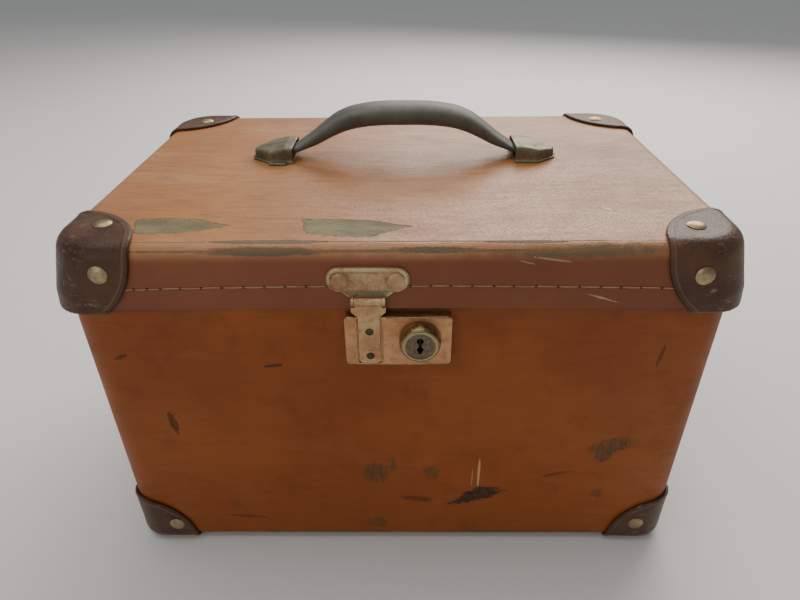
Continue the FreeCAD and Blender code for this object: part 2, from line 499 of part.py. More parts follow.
for sx in (-1, 1):
    def X(x):
        return HANDLE_X + sx * x
    def solid(pts, z0, z1):
        w = Part.makePolygon([V(X(x), HANDLE_Y + y, z0) for x, y in pts] + [V(X(pts[0][0]), HANDLE_Y + pts[0][1], z0)])
        return Part.Face(w).extrude(V(0, 0, z1 - z0))
    z0 = LID_Z1
    o = solid(hood_outline(0, 0), z0, z0 + 9.8)
    # roof falls towards the outer point
    wedge = Part.Face(Part.makePolygon([V(X(76), HANDLE_Y - 30, z0 + 9.8), V(X(110), HANDLE_Y - 30, z0 + 9.8 - 6.2),
                                        V(X(110), HANDLE_Y - 30, z0 + 20), V(X(76), HANDLE_Y - 30, z0 + 20),
                                        V(X(76), HANDLE_Y - 30, z0 + 9.8)])).extrude(V(0, 60, 0))
    o = o.cut(wedge)
    fe = [e for e in o.Edges if e.BoundBox.ZMin > z0 + 3.0 and not (abs(e.BoundBox.XMin - X(70.5)) < 0.01 and abs(e.BoundBox.XMax - X(70.5)) < 0.01)
          and not (e.BoundBox.YLength > 25 and abs(e.BoundBox.XLength) < 0.01)]
    try:
        o = o.makeFillet(2.2, fe)
    except Exception as err:
        print("hood fillet", err)
    i_ = solid([(60, -13.2), (85.0, -13.2), (94.8, -4.6), (96.2, 0), (94.8, 4.6), (85.0, 13.2), (60, 13.2)], z0 - 1, z0 + 8.6)
    wedge2 = wedge.copy()
    wedge2.translate(V(0, 0, -1.3))
    i_ = i_.cut(wedge2)
    hood = o.cut(i_)
    fl = solid(hood_outline(1.3, 0), z0, z0 + 1.0).cut(solid([(60, -13.2), (85.0, -13.2), (94.8, -4.6), (96.2, 0), (94.8, 4.6), (85.0, 13.2), (60, 13.2)], z0 - 1, z0 + 8.6))
    hood = hood.fuse(fl)
    for yy in (-13.9, 13.9):
        pin = cyl(0.9, (X(80), HANDLE_Y + yy, z0 - LID_TOP_T - 1.6), (0, 0, 1), LID_TOP_T + 2.2)
        hood = hood.fuse(pin)
        lid_cuts.append(cyl(0.95, (X(80), HANDLE_Y + yy, z0 - 5), (0, 0, 1), 6))
    hoods.append(hood)
    base = solid([(71.5, -12.9), (84.8, -12.9), (94.4, -4.4), (94.4, 4.4), (84.8, 12.9), (71.5, 12.9)], z0, z0 + 0.8)
    under = box(min(X(72), X(97)), max(X(72), X(97)), HANDLE_Y - 16.0, HANDLE_Y + 16.0, z0 - LID_TOP_T - 1.0, z0 - LID_TOP_T)
    post = turned([(0, 6.0), (2.8, 6.0), (2.9, 5.9), (2.9, 5.45), (2.0, 5.45), (2.0, -LID_TOP_T - 1.0), (3.2, -LID_TOP_T - 1.0),
                   (3.2, -LID_TOP_T - 1.3), (2.0, -LID_TOP_T - 1.6), (0, -LID_TOP_T - 1.6)])
    post = at(post, (X(86.0), HANDLE_Y, z0), (0, 0, 1))
    hole = cyl(2.05, (X(86.0), HANDLE_Y, z0 - 6), (0, 0, 1), 12)
    base = base.cut(hole)
    under = under.cut(hole)
    for yy in (-13.9, 13.9):
        under = under.cut(cyl(0.95, (X(80), HANDLE_Y + yy, z0 - 6), (0, 0, 1), 8))
    lid_cuts.append(hole)
    lid_lining_cuts.append(box(min(X(71.5), X(97.5)), max(X(71.5), X(97.5)), HANDLE_Y - 16.5, HANDLE_Y + 16.5, z0 - 6, z0 - 1))
    plates_b.append(base)
    plates_u.append(under)
    hposts.append(post)
save("handle_hood_left", hoods[0])
save("handle_hood_right", hoods[1])
save("handle_base_plates", group(plates_b))
save("handle_posts", group(hposts))
save("handle_backing_plates", group(plates_u))

# ------------------------------------------------------------------ lid stays
aL = math.pi - math.asin((198.0 - hz) / STAY_R)
aB = aL + math.radians(STAY_GAP_DEG)
LP = (hy + STAY_R * math.cos(aL), hz + STAY_R * math.sin(aL))
BP = (hy + STAY_R * math.cos(aB), hz + STAY_R * math.sin(aB))
d_closed = 2 * STAY_R * math.sin(math.radians(STAY_GAP_DEG) / 2)
d_open = 2 * STAY_R * math.sin(math.radians(STAY_GAP_DEG + LID_OPEN_DEG) / 2)
print("stay pivots", LP, BP, "slot", d_closed, d_open)
bars, lbr, bbr = [], [], []
stay_lid_r, stay_body_r = [], []
for sx in (-1, 1):
    def xs(a, b):
        return (min(sx * a, sx * b), max(sx * a, sx * b))
    x0, x1 = xs(STAY_X0, STAY_X1)
    L = d_open + 7.0
    bar = box(x0, x1, -5.0, 5.0, 0, L)
    bar = bar.fuse(cyl(5.0, (x0, 0, 0), (1, 0, 0), x1 - x0)).fuse(cyl(5.0, (x0, 0, L), (1, 0, 0), x1 - x0))
    s0, s1 = d_closed - 0.2, d_open + 0.2
    cut = box(x0 - 1, x1 + 1, -2.2, 2.2, s0, s1)
    for z in (s0, s1):
        cut = cut.fuse(cyl(2.2, (x0 - 1, 0, z), (1, 0, 0), x1 - x0 + 2))
    bar = bar.cut(cut).cut(cyl(2.06, (x0 - 1, 0, 0), (1, 0, 0), x1 - x0 + 2))
    ang = math.degrees(math.atan2(-(BP[0] - LP[0]), (BP[1] - LP[1])))
    bar = place(bar, (0, LP[0], LP[1]), Rotation(V(1, 0, 0), ang))
    bars.append(bar)
    # bracket on the lid: plate on the leaning side, boss, pin and head
    lx = LID_HX - LID_WALL
    face_x = lambda z: lx - LID_DRAFT * (z - LID_Z0)
    pr = poly_x([(LP[0] - 8, 191.6), (LP[0] + 8, 191.6), (LP[0] + 8, 205.5), (LP[0] - 8, 205.5)], *xs(face_x(191.6) - 1.6, face_x(191.6) + 1))
    keep = lid_block(-LID_WALL, -LID_TOP_T, LID_Z0 - 2)
    pr = pr.common(keep)
    boss = cyl(3.4, (xs(STAY_X1 + 0.2, face_x(198) - 0.8)[0], LP[0], LP[1]), (1, 0, 0), face_x(198) - 0.8 - STAY_X1 - 0.2)
    xa, xb = xs(STAY_X0 - 0.9, STAY_X1 + 1.0)
    pin = cyl(2.0, (xa, LP[0], LP[1]), (1, 0, 0), xb - xa)
    xa, xb = xs(STAY_X0 - 1.6, STAY_X0 - 0.3)
    hd = cyl(3.6, (xa, LP[0], LP[1]), (1, 0, 0), xb - xa)
    br = pr.multiFuse([boss, pin, hd])
    for dy, z in ((-5.5, 202.5), (5.5, 202.5)):
        c, s = math.cos(math.radians(ALPHA)), math.sin(math.radians(ALPHA))
        p = (sx * lid_x(z), LP[0] + dy, z)
        n = (sx * c, 0, s)
        stay_lid_r.append((p, n))
        br = br.cut(shank_hole(p, n, 5.0, 1.15))
    lbr.append(br)
    bi = BODY_HX - WALL
    xa, xb = xs(bi - 1.1, bi)
    pb = box(xa, xb, BP[0] - 9, BP[0] + 9, BP[1] - 5, BP[1] + 5)
    xa, xb = xs(STAY_X1 + 0.2, bi - 1.0)
    boss = cyl(3.4, (xa, BP[0], BP[1]), (1, 0, 0), xb - xa)
    xa, xb = xs(STAY_X0 - 0.9, STAY_X1 + 1.0)
    pin = cyl(2.0, (xa, BP[0], BP[1]), (1, 0, 0), xb - xa)
    xa, xb = xs(STAY_X0 - 1.6, STAY_X0 - 0.3)
    hd = cyl(3.6, (xa, BP[0], BP[1]), (1, 0, 0), xb - xa)
    bb = pb.multiFuse([boss, pin, hd])
    for dy in (-6.4, 6.4):
        p = (sx * BODY_HX, BP[0] + dy, BP[1])
        stay_body_r.append((p, (sx, 0, 0)))
        bb = bb.cut(shank_hole(p, (sx, 0, 0), 5.0, 1.15))
        shell_cuts.append(shank_hole(p, (sx, 0, 0), 5.0, 1.15))
    bbr.append(bb)
    xa, xb = xs(bi - 4, bi + 0.02)
    lining_cuts.append(box(xa, xb, BP[0] - 9.6, BP[0] + 9.6, BP[1] - 5.6, BP[1] + 5.6))
    lid_lining_cuts.append(box(*xs(160, 170.6), LP[0] - 8.6, LP[0] + 8.6, 188, 206.1))
save("stay_bar_left", bars[0])
save("stay_bar_right", bars[1])
save("stay_lid_brackets", group(lbr))
save("stay_body_studs", group(bbr))
SL_STACK = LID_WALL * math.cos(math.radians(ALPHA)) + 1.6
SB_STACK = WALL + 1.1
save("stay_lid_rivets", group([at(rivet(LID_WALL * math.cos(math.radians(ALPHA)) + 2.35, 2.4, 0.9, 1.1, 1.8, 0.5), p, n) for p, n in stay_lid_r]))
save("stay_body_rivets", group([at(rivet(SB_STACK, 2.4, 0.9, 1.1, 1.8, 0.5), p, n) for p, n in stay_body_r]))

for c in shell_cuts:
    body_shell = body_shell.cut(c)
save("body_shell", body_shell)
for c in lining_cuts:
    body_lining = body_lining.cut(c)
save("body_lining", body_lining)

# ------------------------------------------------------------------ lid shell
lid_shell = lid_block(0, 0).cut(lid_block(-LID_WALL, -LID_TOP_T, LID_Z0 - 2))
lid_lining = lid_block(-LID_WALL - GLUE, -LID_TOP_T - GLUE, 192.0).cut(
    lid_block(-LID_WALL - GLUE - LINING, -LID_TOP_T - GLUE - LINING, 190.0))
for p, n in lid_rivets:
    st = lid_stack(n)
    lid_shell = lid_shell.cut(shank_hole(p, n, st))
    lid_lining = lid_lining.cut(lining_hole(p, n, st))
for p, n in lid_hr:
    lid_shell = lid_shell.cut(shank_hole(p, n, HL_STACK, 1.35))
    lid_lining = lid_lining.cut(lining_hole(p, n, HL_STACK, 2.7))
for p, n in hasp_r:
    lid_shell = lid_shell.cut(shank_hole(p, n, HR_STACK, 1.35))
    lid_lining = lid_lining.cut(lining_hole(p, n, HR_STACK, 2.7))
for p, n in stay_lid_r:
    lid_shell = lid_shell.cut(shank_hole(p, n, 5.0, 1.15))
for c in lid_cuts:
    lid_shell = lid_shell.cut(c)
for c in lid_lining_cuts:
    lid_lining = lid_lining.cut(c)
caps = lid_block(LEATHER + GLUE, LEATHER + GLUE).cut(lid_block(GLUE, GLUE, LID_Z0 - 1))
for sx, sy, nm in ((-1, -1, "front_left"), (1, -1, "front_right"), (-1, 1, "back_left"), (1, 1, "back_right")):
    ball = Part.makeSphere(CAP_R_LID, V(sx * (LID_HX - 1.8), sy * (LID_HY - 1.8), LID_Z1 - 0.5))
    c = caps.common(ball)
    for p, n in lid_rivets:
        if p[0] * sx > 0 and p[1] * sy > 0:
            c = c.cut(shank_hole(p, n, lid_stack(n)))
    save("lid_corner_" + nm, c)
save("lid_corner_rivets", group([at(rivet(lid_stack(n)), p, n) for p, n in lid_rivets]))
save("lid_corner_washers", group([washer(p, n, lid_stack(n)) for p, n in lid_rivets]))

# ------------------------------------------------------------------- mirror
zt = LID_Z1 - LID_TOP_T - GLUE - LINING
frame = prism(MIRROR_HX + 7, MIRROR_HY + 7, 10, 206.5, zt - 0.1).cut(prism(MIRROR_HX - 5, MIRROR_HY - 5, 4, 200, 215))
frame = frame.cut(prism(MIRROR_HX + 0.15, MIRROR_HY + 0.15, 3.15, 207.7, 215))
glass = prism(MIRROR_HX, MIRROR_HY, 3.0, 207.7, 210.6)
screws = []
for x, y in ((-114.6, -74.6), (114.6, -74.6), (-114.6, 74.6), (114.6, 74.6), (0, -74.6), (0, 74.6)):
    p, n = (x, y, 206.5), (0, 0, -1)
    sc = turned([(0, 1.0), (0.4, 1.0), (1.5, 0.75, 0), (2.3, 0.0), (1.1, 0), (1.1, -6.0), (0.5, -6.9), (0, -6.9)])
    screws.append(at(sc, p, n))
    hole = cyl(1.15, (x, y, 206.0), (0, 0, 1), 7.5)
    frame = frame.cut(hole)
    lid_lining = lid_lining.cut(hole)
    lid_shell = lid_shell.cut(hole)
save("mirror_frame", frame)
save("mirror_glass", glass)
save("mirror_screws", group(screws))
save("lid_shell", lid_shell)
save("lid_lining", lid_lining)

# --------------------------------------------------------------------- tray
li = BODY_HY - WALL - GLUE - LINING - 0.1
save("tray_ledges", group([box(-148, 148, -li, -li + 7.0, 118.0, 126.0), box(-148, 148, li - 7.0, li, 118.0, 126.0)]))
save("tray_base", prism(TRAY_HX, TRAY_HY, 8.0, TRAY_Z0, TRAY_Z0 + 2.0))
walls = prism(TRAY_HX, TRAY_HY, 8.0, TRAY_Z0 + 2.0, TRAY_Z1).cut(prism(TRAY_HX - 3, TRAY_HY - 3, 5.0, TRAY_Z0, TRAY_Z1 + 2))
tabs = []
for sx in (-1, 1):
    xa = sx * (TRAY_HX - 3.05)
    a, b = min(xa, xa - sx * 1.6), max(xa, xa - sx * 1.6)
    t = box(a, b, -11, 11, 140, 165).fuse(cyl(11, (a, 0, 165), (1, 0, 0), b - a))
    for z in (146.0, 158.0):
        t = t.cut(cyl(1.05, (a - 2, 0, z), (1, 0, 0), 5))
        walls = walls.cut(cyl(1.05, (sx * (TRAY_HX + 1) if sx < 0 else TRAY_HX - 5, 0, z), (1, 0, 0), 6))
    tabs.append(t)
tab_r = []
for sx in (-1, 1):
    for z in (146.0, 158.0):
        tab_r.append(at(rivet(4.65, 2.6, 0.9, 1.0, 1.9, 0.5), (sx * (TRAY_HX - 4.65), 0, z), (-sx, 0, 0)))
save("tray_walls", walls)
save("tray_lift_tabs", group(tabs))
save("tray_tab_rivets", group(tab_r))
dz1 = 156.0
long_d = box(-TRAY_HX + 3.1, TRAY_HX - 3.1, 18.0, 20.5, TRAY_Z0 + 2.0, dz1)
long_d = long_d.cut(box(-154, -149, 10, 30, 120, 170)).cut(box(149, 154, 10, 30, 120, 170))
cr = []
for x in (-60.0, 50.0):
    cr.append(box(x, x + 2.5, -TRAY_HY + 3.1, 17.95, TRAY_Z0 + 2.0, dz1))
save("tray_dividers", group([long_d] + cr))

print(len(SAVED), "nodes")
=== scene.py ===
import math
import random

import bmesh
import bpy
import numpy as np
from mathutils import Matrix, Vector, noise


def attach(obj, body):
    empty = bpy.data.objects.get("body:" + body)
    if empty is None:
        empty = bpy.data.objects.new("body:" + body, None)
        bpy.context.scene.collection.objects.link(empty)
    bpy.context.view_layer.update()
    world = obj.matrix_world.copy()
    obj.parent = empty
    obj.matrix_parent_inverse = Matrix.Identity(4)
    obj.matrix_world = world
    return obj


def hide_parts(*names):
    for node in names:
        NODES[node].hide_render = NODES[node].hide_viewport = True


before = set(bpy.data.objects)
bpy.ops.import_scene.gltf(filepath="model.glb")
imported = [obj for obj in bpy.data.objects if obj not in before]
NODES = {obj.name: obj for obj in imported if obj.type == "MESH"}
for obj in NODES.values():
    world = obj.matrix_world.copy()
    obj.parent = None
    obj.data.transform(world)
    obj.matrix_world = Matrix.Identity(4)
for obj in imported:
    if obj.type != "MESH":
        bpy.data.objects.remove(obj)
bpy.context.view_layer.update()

MM = 0.001

# dimensions shared with the CAD, in millimetres
LID_HX, LID_HY, LID_Z0, LID_Z1, DRAFT = 173.4, 118.9, 180.5, 215.0, 0.0833
BODY_HX, BODY_HY, BODY_Z0 = 169.8, 115.2, 2.1
HASP_X, LOCK_FRONT = -14.6, 121.0
HX, HY = 2.8, 16.5


def lid_y(z):
    return LID_HY - DRAFT * (z - LID_Z0)


def lid_x(z):
    return LID_HX - DRAFT * (z - LID_Z0)


# --------------------------------------------------------------- node helpers
class Mat:
    """A node material with short calls for its nodes. Lengths are metres in the row frame."""

    def __init__(self, name):
        self.m = bpy.data.materials.new(name)
        self.m.use_nodes = True
        self.nt = self.m.node_tree
        self.nt.nodes.clear()
        self.out = self.nt.nodes.new("ShaderNodeOutputMaterial")
        self.b = self.nt.nodes.new("ShaderNodeBsdfPrincipled")
        self.nt.links.new(self.b.outputs[0], self.out.inputs[0])
        self.P = self.nt.nodes.new("ShaderNodeTexCoord").outputs["Object"]
        s = self.nt.nodes.new("ShaderNodeSeparateXYZ")
        self.nt.links.new(self.P, s.inputs[0])
        self.x, self.y, self.z = s.outputs
        g = self.nt.nodes.new("ShaderNodeNewGeometry")
        sn = self.nt.nodes.new("ShaderNodeSeparateXYZ")
        self.nt.links.new(g.outputs["Normal"], sn.inputs[0])
        self.geo = g

    def put(self, sock, v):
        if v is None:
            return
        if isinstance(v, bpy.types.NodeSocket):
            self.nt.links.new(v, sock)
        else:
            sock.default_value = v

    def f(self, op, a, b=None, c=None, clamp=False):
        n = self.nt.nodes.new("ShaderNodeMath")
        n.operation = op
        n.use_clamp = clamp
        for i, v in enumerate((a, b, c)):
            self.put(n.inputs[i], v)
        return n.outputs[0]

    def v(self, op, a, b=None, scale=None):
        n = self.nt.nodes.new("ShaderNodeVectorMath")
        n.operation = op
        self.put(n.inputs[0], a)
        self.put(n.inputs[1], b)
        if scale is not None:
            self.put(n.inputs["Scale"], scale)
        return n.outputs["Value"] if op in ("LENGTH", "DISTANCE", "DOT_PRODUCT") else n.outputs[0]

    def noise(self, scale, detail=3.0, rough=0.55, vec=None, dist=0.0, stretch=None, colour=False):
        vec = self.P if vec is None else vec
        if stretch is not None:
            vec = self.v("MULTIPLY", vec, stretch)
        n = self.nt.nodes.new("ShaderNodeTexNoise")
        self.put(n.inputs["Vector"], vec)
        n.inputs["Scale"].default_value = scale
        n.inputs["Detail"].default_value = detail
        n.inputs["Roughness"].default_value = rough
        n.inputs["Distortion"].default_value = dist
        return n.outputs["Color"] if colour else n.outputs["Fac"]

    def voronoi(self, scale, vec=None, feature="F1", rand=1.0):
        n = self.nt.nodes.new("ShaderNodeTexVoronoi")
        n.feature = feature
        self.put(n.inputs["Vector"], self.P if vec is None else vec)
        n.inputs["Scale"].default_value = scale
        n.inputs["Randomness"].default_value = rand
        return n.outputs["Distance"]

    def rng(self, v, a, b, c=0.0, d=1.0, kind="SMOOTHSTEP"):
        n = self.nt.nodes.new("ShaderNodeMapRange")
        n.interpolation_type = kind
        n.clamp = True if kind == "LINEAR" else n.clamp
        self.put(n.inputs["Value"], v)
        n.inputs["From Min"].default_value = a
        n.inputs["From Max"].default_value = b
        n.inputs["To Min"].default_value = c
        n.inputs["To Max"].default_value = d
        return n.outputs["Result"]

    def mix(self, fac, a, b, blend="MIX"):
        n = self.nt.nodes.new("ShaderNodeMix")
        n.data_type = "RGBA"
        n.blend_type = blend
        self.put(n.inputs["Factor"], fac)
        for key, val in (("A", a), ("B", b)):
            s = [i for i in n.inputs if i.name == key and i.type == "RGBA"][0]
            if isinstance(val, (tuple, list)):
                s.default_value = (val[0], val[1], val[2], 1.0)
            else:
                self.put(s, val)
        return [o for o in n.outputs if o.type == "RGBA"][0]

    def bump(self, height, strength=0.5, dist=0.0004, normal=None):
        n = self.nt.nodes.new("ShaderNodeBump")
        n.inputs["Strength"].default_value = strength
        n.inputs["Distance"].default_value = dist
        self.put(n.inputs["Height"], height)
        self.put(n.inputs["Normal"], normal)
        return n.outputs[0]

    def mx(self, *vals):
        r = vals[0]
        for v in vals[1:]:
            r = self.f("MAXIMUM", r, v)
        return r

    def ell(self, a, b, ca, cb, ra, rb, ang=0.0, jag=None, jk=0.35, soft=0.12):
        """1 inside an ellipse on the plane of coordinates a and b, with an edge torn by the value jag."""
        da = self.f("SUBTRACT", a, ca * MM)
        db = self.f("SUBTRACT", b, cb * MM)
        c, s = math.cos(math.radians(ang)), math.sin(math.radians(ang))
        u = self.f("ADD", self.f("MULTIPLY", da, c / (ra * MM)), self.f("MULTIPLY", db, s / (ra * MM)))
        w = self.f("ADD", self.f("MULTIPLY", da, -s / (rb * MM)), self.f("MULTIPLY", db, c / (rb * MM)))
        d = self.f("SQRT", self.f("ADD", self.f("MULTIPLY", u, u), self.f("MULTIPLY", w, w)))
        if jag is not None:
            d = self.f("ADD", d, self.f("MULTIPLY", self.f("SUBTRACT", jag, 0.5), jk * 2))
        return self.rng(d, 1.0 - soft, 1.0 + soft, 1.0, 0.0)

    def poly(self, a, b, pts, jag=None, jk=1.5, soft=0.25):
        """1 inside a convex polygon (millimetres), its border torn by jag by jk mm."""
        cx = sum(p[0] for p in pts) / len(pts)
        cy = sum(p[1] for p in pts) / len(pts)
        d = None
        n = len(pts)
        for i in range(n):
            (x0, y0), (x1, y1) = pts[i], pts[(i + 1) % n]
            ex, ey = x1 - x0, y1 - y0
            L = math.hypot(ex, ey)
            nx, ny = ey / L, -ex / L
            if nx * (cx - x0) + ny * (cy - y0) > 0:
                nx, ny = -nx, -ny
            k = nx * x0 + ny * y0
            e = self.f("SUBTRACT", self.f("ADD", self.f("MULTIPLY", a, nx * 1000), self.f("MULTIPLY", b, ny * 1000)), k)
            d = e if d is None else self.f("MAXIMUM", d, e)
        if jag is not None:
            d = self.f("ADD", d, self.f("MULTIPLY", self.f("SUBTRACT", jag, 0.5), jk * 2))
        return self.rng(d, -soft, soft, 1.0, 0.0)

    def done(self, base, rough, metal=0.0, normal=None, spec=None, coat=None, coat_rough=None):
        if isinstance(base, (tuple, list)):
            self.b.inputs["Base Color"].default_value = (base[0], base[1], base[2], 1.0)
        else:
            self.put(self.b.inputs["Base Color"], base)
        self.put(self.b.inputs["Roughness"], rough)
        self.put(self.b.inputs["Metallic"], metal)
        self.put(self.b.inputs["Normal"], normal)
        if spec is not None:
            self.b.inputs["Specular IOR Level"].default_value = spec
        if coat is not None:
            self.b.inputs["Coat Weight"].default_value = coat
        if coat_rough is not None:
            self.b.inputs["Coat Roughness"].default_value = coat_rough
        return self.m


def grain(M, hstretch=(0.35, 1.0, 1.0)):
    """Height of the fine embossed grain of leathercloth."""
    cells = M.voronoi(1500.0, M.v("MULTIPLY", M.v("ADD", M.P, M.v("SCALE", M.noise(260.0, 2.0, 0.5, colour=True), scale=0.0012)), hstretch))
    fine = M.noise(2600.0, 2.0, 0.6, stretch=hstretch)
    streak = M.noise(260.0, 4.0, 0.6, stretch=(0.18, 1.0, 1.0))
    h = M.f("ADD", M.f("MULTIPLY", M.rng(cells, 0.05, 0.6), 0.55), M.f("MULTIPLY", fine, 0.35))
    return M.f("ADD", h, M.f("MULTIPLY", streak, 0.9)), streak


def fibre_body():
    M = Mat("fibre_body")
    g, streak = grain(M, (0.6, 0.8, 1.0))
    jag = M.noise(260.0, 5.0, 0.68)
    jag2 = M.noise(520.0, 5.0, 0.74, dist=0.5, stretch=(1.5, 1.0, 0.55))
    big = M.noise(9.0, 4.0, 0.6)
    mid = M.noise(46.0, 5.0, 0.62, dist=0.4)
    low = M.rng(M.z, 0.0, 0.16, 1.0, 0.0)
    base = M.mix(M.rng(big, 0.35, 0.68), (0.235, 0.054, 0.0065), (0.310, 0.082, 0.012))
    base = M.mix(M.f("MULTIPLY", low, 0.75), base, (0.262, 0.062, 0.005))
    base = M.mix(M.f("MULTIPLY", M.rng(mid, 0.50, 0.72), 0.45), base, (0.185, 0.042, 0.007))
    base = M.mix(M.f("MULTIPLY", M.rng(streak, 0.45, 0.75), 0.22), base, (0.14, 0.034, 0.008))
    # soft rubbed bloom
    bloom = M.rng(M.noise(22.0, 5.0, 0.7, dist=0.8, stretch=(0.5, 0.5, 1.2)), 0.56, 0.76)
    base = M.mix(M.f("MULTIPLY", bloom, 0.26), base, (0.40, 0.155, 0.055))
    # dents and short scratches all over
    scr = M.voronoi(34.0, M.v("MULTIPLY", M.v("ADD", M.P, M.v("SCALE", M.noise(30.0, 1.0, 0.5, colour=True), scale=0.02)), (1.0, 1.0, 0.22)), "DISTANCE_TO_EDGE")
    scr = M.f("MULTIPLY", M.rng(scr, 0.0, 0.012, 1.0, 0.0), M.rng(M.noise(40.0, 3.0, 0.6), 0.60, 0.70))
    base = M.mix(M.f("MULTIPLY", scr, 0.5), base, (0.12, 0.036, 0.012))
    front = M.f("LESS_THAN", M.y, -0.1135)
    # bare and stained places on the front
    dark = M.mx(
        M.poly(M.x, M.z, [(30.5, 34.0), (38.4, 42.2), (48.0, 50.0), (57.0, 47.8), (64.5, 45.8), (57.0, 39.5), (43.7, 35.6)], M.noise(230.0, 6.0, 0.75, dist=0.4, stretch=(0.35, 1.0, 1.6)), 9.0, 0.5),
        M.ell(M.x, M.z, 49, 43, 10, 3.2, 12, jag2, 0.5),
        M.f("MULTIPLY", M.ell(M.x, M.z, 11, 38.5, 10, 2.1, -8, jag2, 0.9), 0.6),
        M.f("MULTIPLY", M.ell(M.x, M.z, -129.5, 103, 2.0, 8, 6, jag2, 1.1), 0.75),
        M.f("MULTIPLY", M.ell(M.x, M.z, 138, 150, 1.1, 7.5, -8, jag2, 0.5), 0.55),
        M.f("MULTIPLY", M.ell(M.x, M.z, -67.5, 144, 5.5, 1.0, 6, jag2, 0.6), 0.8),
        M.f("MULTIPLY", M.ell(M.x, M.z, -148, 150, 3.5, 1.3, 20, jag2, 0.6), 0.7),
        M.f("MULTIPLY", M.ell(M.x, M.z, 95, 61, 9, 1.2, 14, jag2, 1.0), 0.5),
        M.f("MULTIPLY", M.ell(M.x, M.z, -98, 22, 12, 1.4, -4, jag2, 1.0), 0.5))
    dark = M.f("MULTIPLY", dark, front)
    green = M.mx(
        M.ell(M.x, M.z, -14.8, 61.5, 7.6, 7.6, 0, jag2, 1.25),
        M.f("MULTIPLY", M.ell(M.x, M.z, -4.6, 69.5, 2.5, 6.0, 12, jag2, 1.0), 0.8),
        M.f("MULTIPLY", M.ell(M.x, M.z, 19, 61.5, 4.6, 5.2, -20, jag2, 1.3), 0.7),
        M.ell(M.x, M.z, 123.5, 84.5, 12.5, 5.4, 14, jag2, 1.15),
        M.ell(M.x, M.z, 120.5, 78.0, 5.0, 7.0, -18, jag2, 1.0),
        M.f("MULTIPLY", M.ell(M.x, M.z, 121.5, 44.0, 3.8, 3.6, 10, jag2, 1.2), 0.8),
        M.f("MULTIPLY", M.ell(M.x, M.z, -15.5, 16.0, 6.2, 4.6, 0, jag2, 1.2), 0.85),
        M.f("MULTIPLY", M.ell(M.x, M.z, -104, 34.0, 3.0, 4.0, 30, jag2, 1.4), 0.5))
    hatch = M.rng(M.noise(620.0, 4.0, 0.7, dist=0.3, stretch=(1.3, 1.0, 0.22)), 0.40, 0.58, 0.25, 1.0)
    green = M.f("MULTIPLY", M.f("MULTIPLY", green, front), hatch)
    # painted shadow of the lid's edge above the lock plate, with greenish patina in it
    lid_shadow_and_patina = M.f("MULTIPLY", M.ell(M.x, M.z, 1.5, 180.8, 29, 3.4, 0, jag, 0.35, 0.4), front)
    # the underside edge and the upright edges are rubbed through in places
    edge_low = M.f("MULTIPLY", M.rng(M.z, 0.0035, 0.0125, 1.0, 0.0), M.rng(M.noise(55.0, 5.0, 0.7), 0.46, 0.60))
    ax, ay = M.f("ABSOLUTE", M.x), M.f("ABSOLUTE", M.y)
    d = M.f("SUBTRACT", M.f("ADD", ax, ay), (BODY_HX + BODY_HY - 11.0) * MM)
    upright = M.f("MULTIPLY", M.rng(d, -0.001, 0.0025), M.rng(M.noise(34.0, 6.0, 0.7, stretch=(1, 1, 0.35)), 0.55, 0.66))
    edge = M.mx(edge_low, M.f("MULTIPLY", upright, 0.8))
    # pale vertical runs above the bare patch
    run = M.mx(M.ell(M.x, M.z, 47.6, 62, 0.75, 12.5, 0, jag2, 0.35), M.f("MULTIPLY", M.ell(M.x, M.z, 43.8, 57.5, 0.45, 7, 0, jag2, 0.4), 0.5))
    run = M.f("MULTIPLY", run, front)
    # scuffs at the sides and back
    away = M.f("SUBTRACT", 1.0, front)
    scuff = M.f("MULTIPLY", M.rng(M.noise(17.0, 7.0, 0.72, dist=0.5), 0.635, 0.67), away)
    base = M.mix(M.f("MULTIPLY", edge, 0.8), base, M.mix(jag, (0.065, 0.052, 0.028), (0.16, 0.125, 0.07)))
    base = M.mix(M.f("MULTIPLY", scuff, 0.75), base, M.mix(jag, (0.055, 0.042, 0.022), (0.14, 0.115, 0.065)))
    base = M.mix(M.f("MULTIPLY", green, 0.8), base, M.mix(jag2, (0.036, 0.032, 0.016), (0.105, 0.092, 0.048)))
    # painted shadow and greenish patina above the lock plate
    base = M.mix(M.f("MULTIPLY", lid_shadow_and_patina, 0.7), base, (0.050, 0.048, 0.030))
    base = M.mix(M.f("MULTIPLY", dark, 0.92), base, M.mix(M.rng(jag2, 0.35, 0.65), (0.016, 0.011, 0.007), (0.075, 0.040, 0.018)))
    base = M.mix(M.f("MULTIPLY", run, 0.75), base, (0.62, 0.36, 0.17))
    bare = M.mx(dark, green, edge, scuff)
    rough = M.f("ADD", M.rng(M.f("ADD", mid, M.f("MULTIPLY", streak, 0.5)), 0.4, 1.1, 0.46, 0.62), M.f("MULTIPLY", bare, 0.28))
    hgt = M.f("SUBTRACT", M.f("MULTIPLY", g, 0.26), M.f("MULTIPLY", bare, 0.9))
    n1 = M.bump(M.noise(15.0, 3.0, 0.5), 0.30, 0.0030)
    n2 = M.bump(hgt, 0.70, 0.00032, n1)
    return M.done(base, rough, 0.0, n2, spec=0.30)


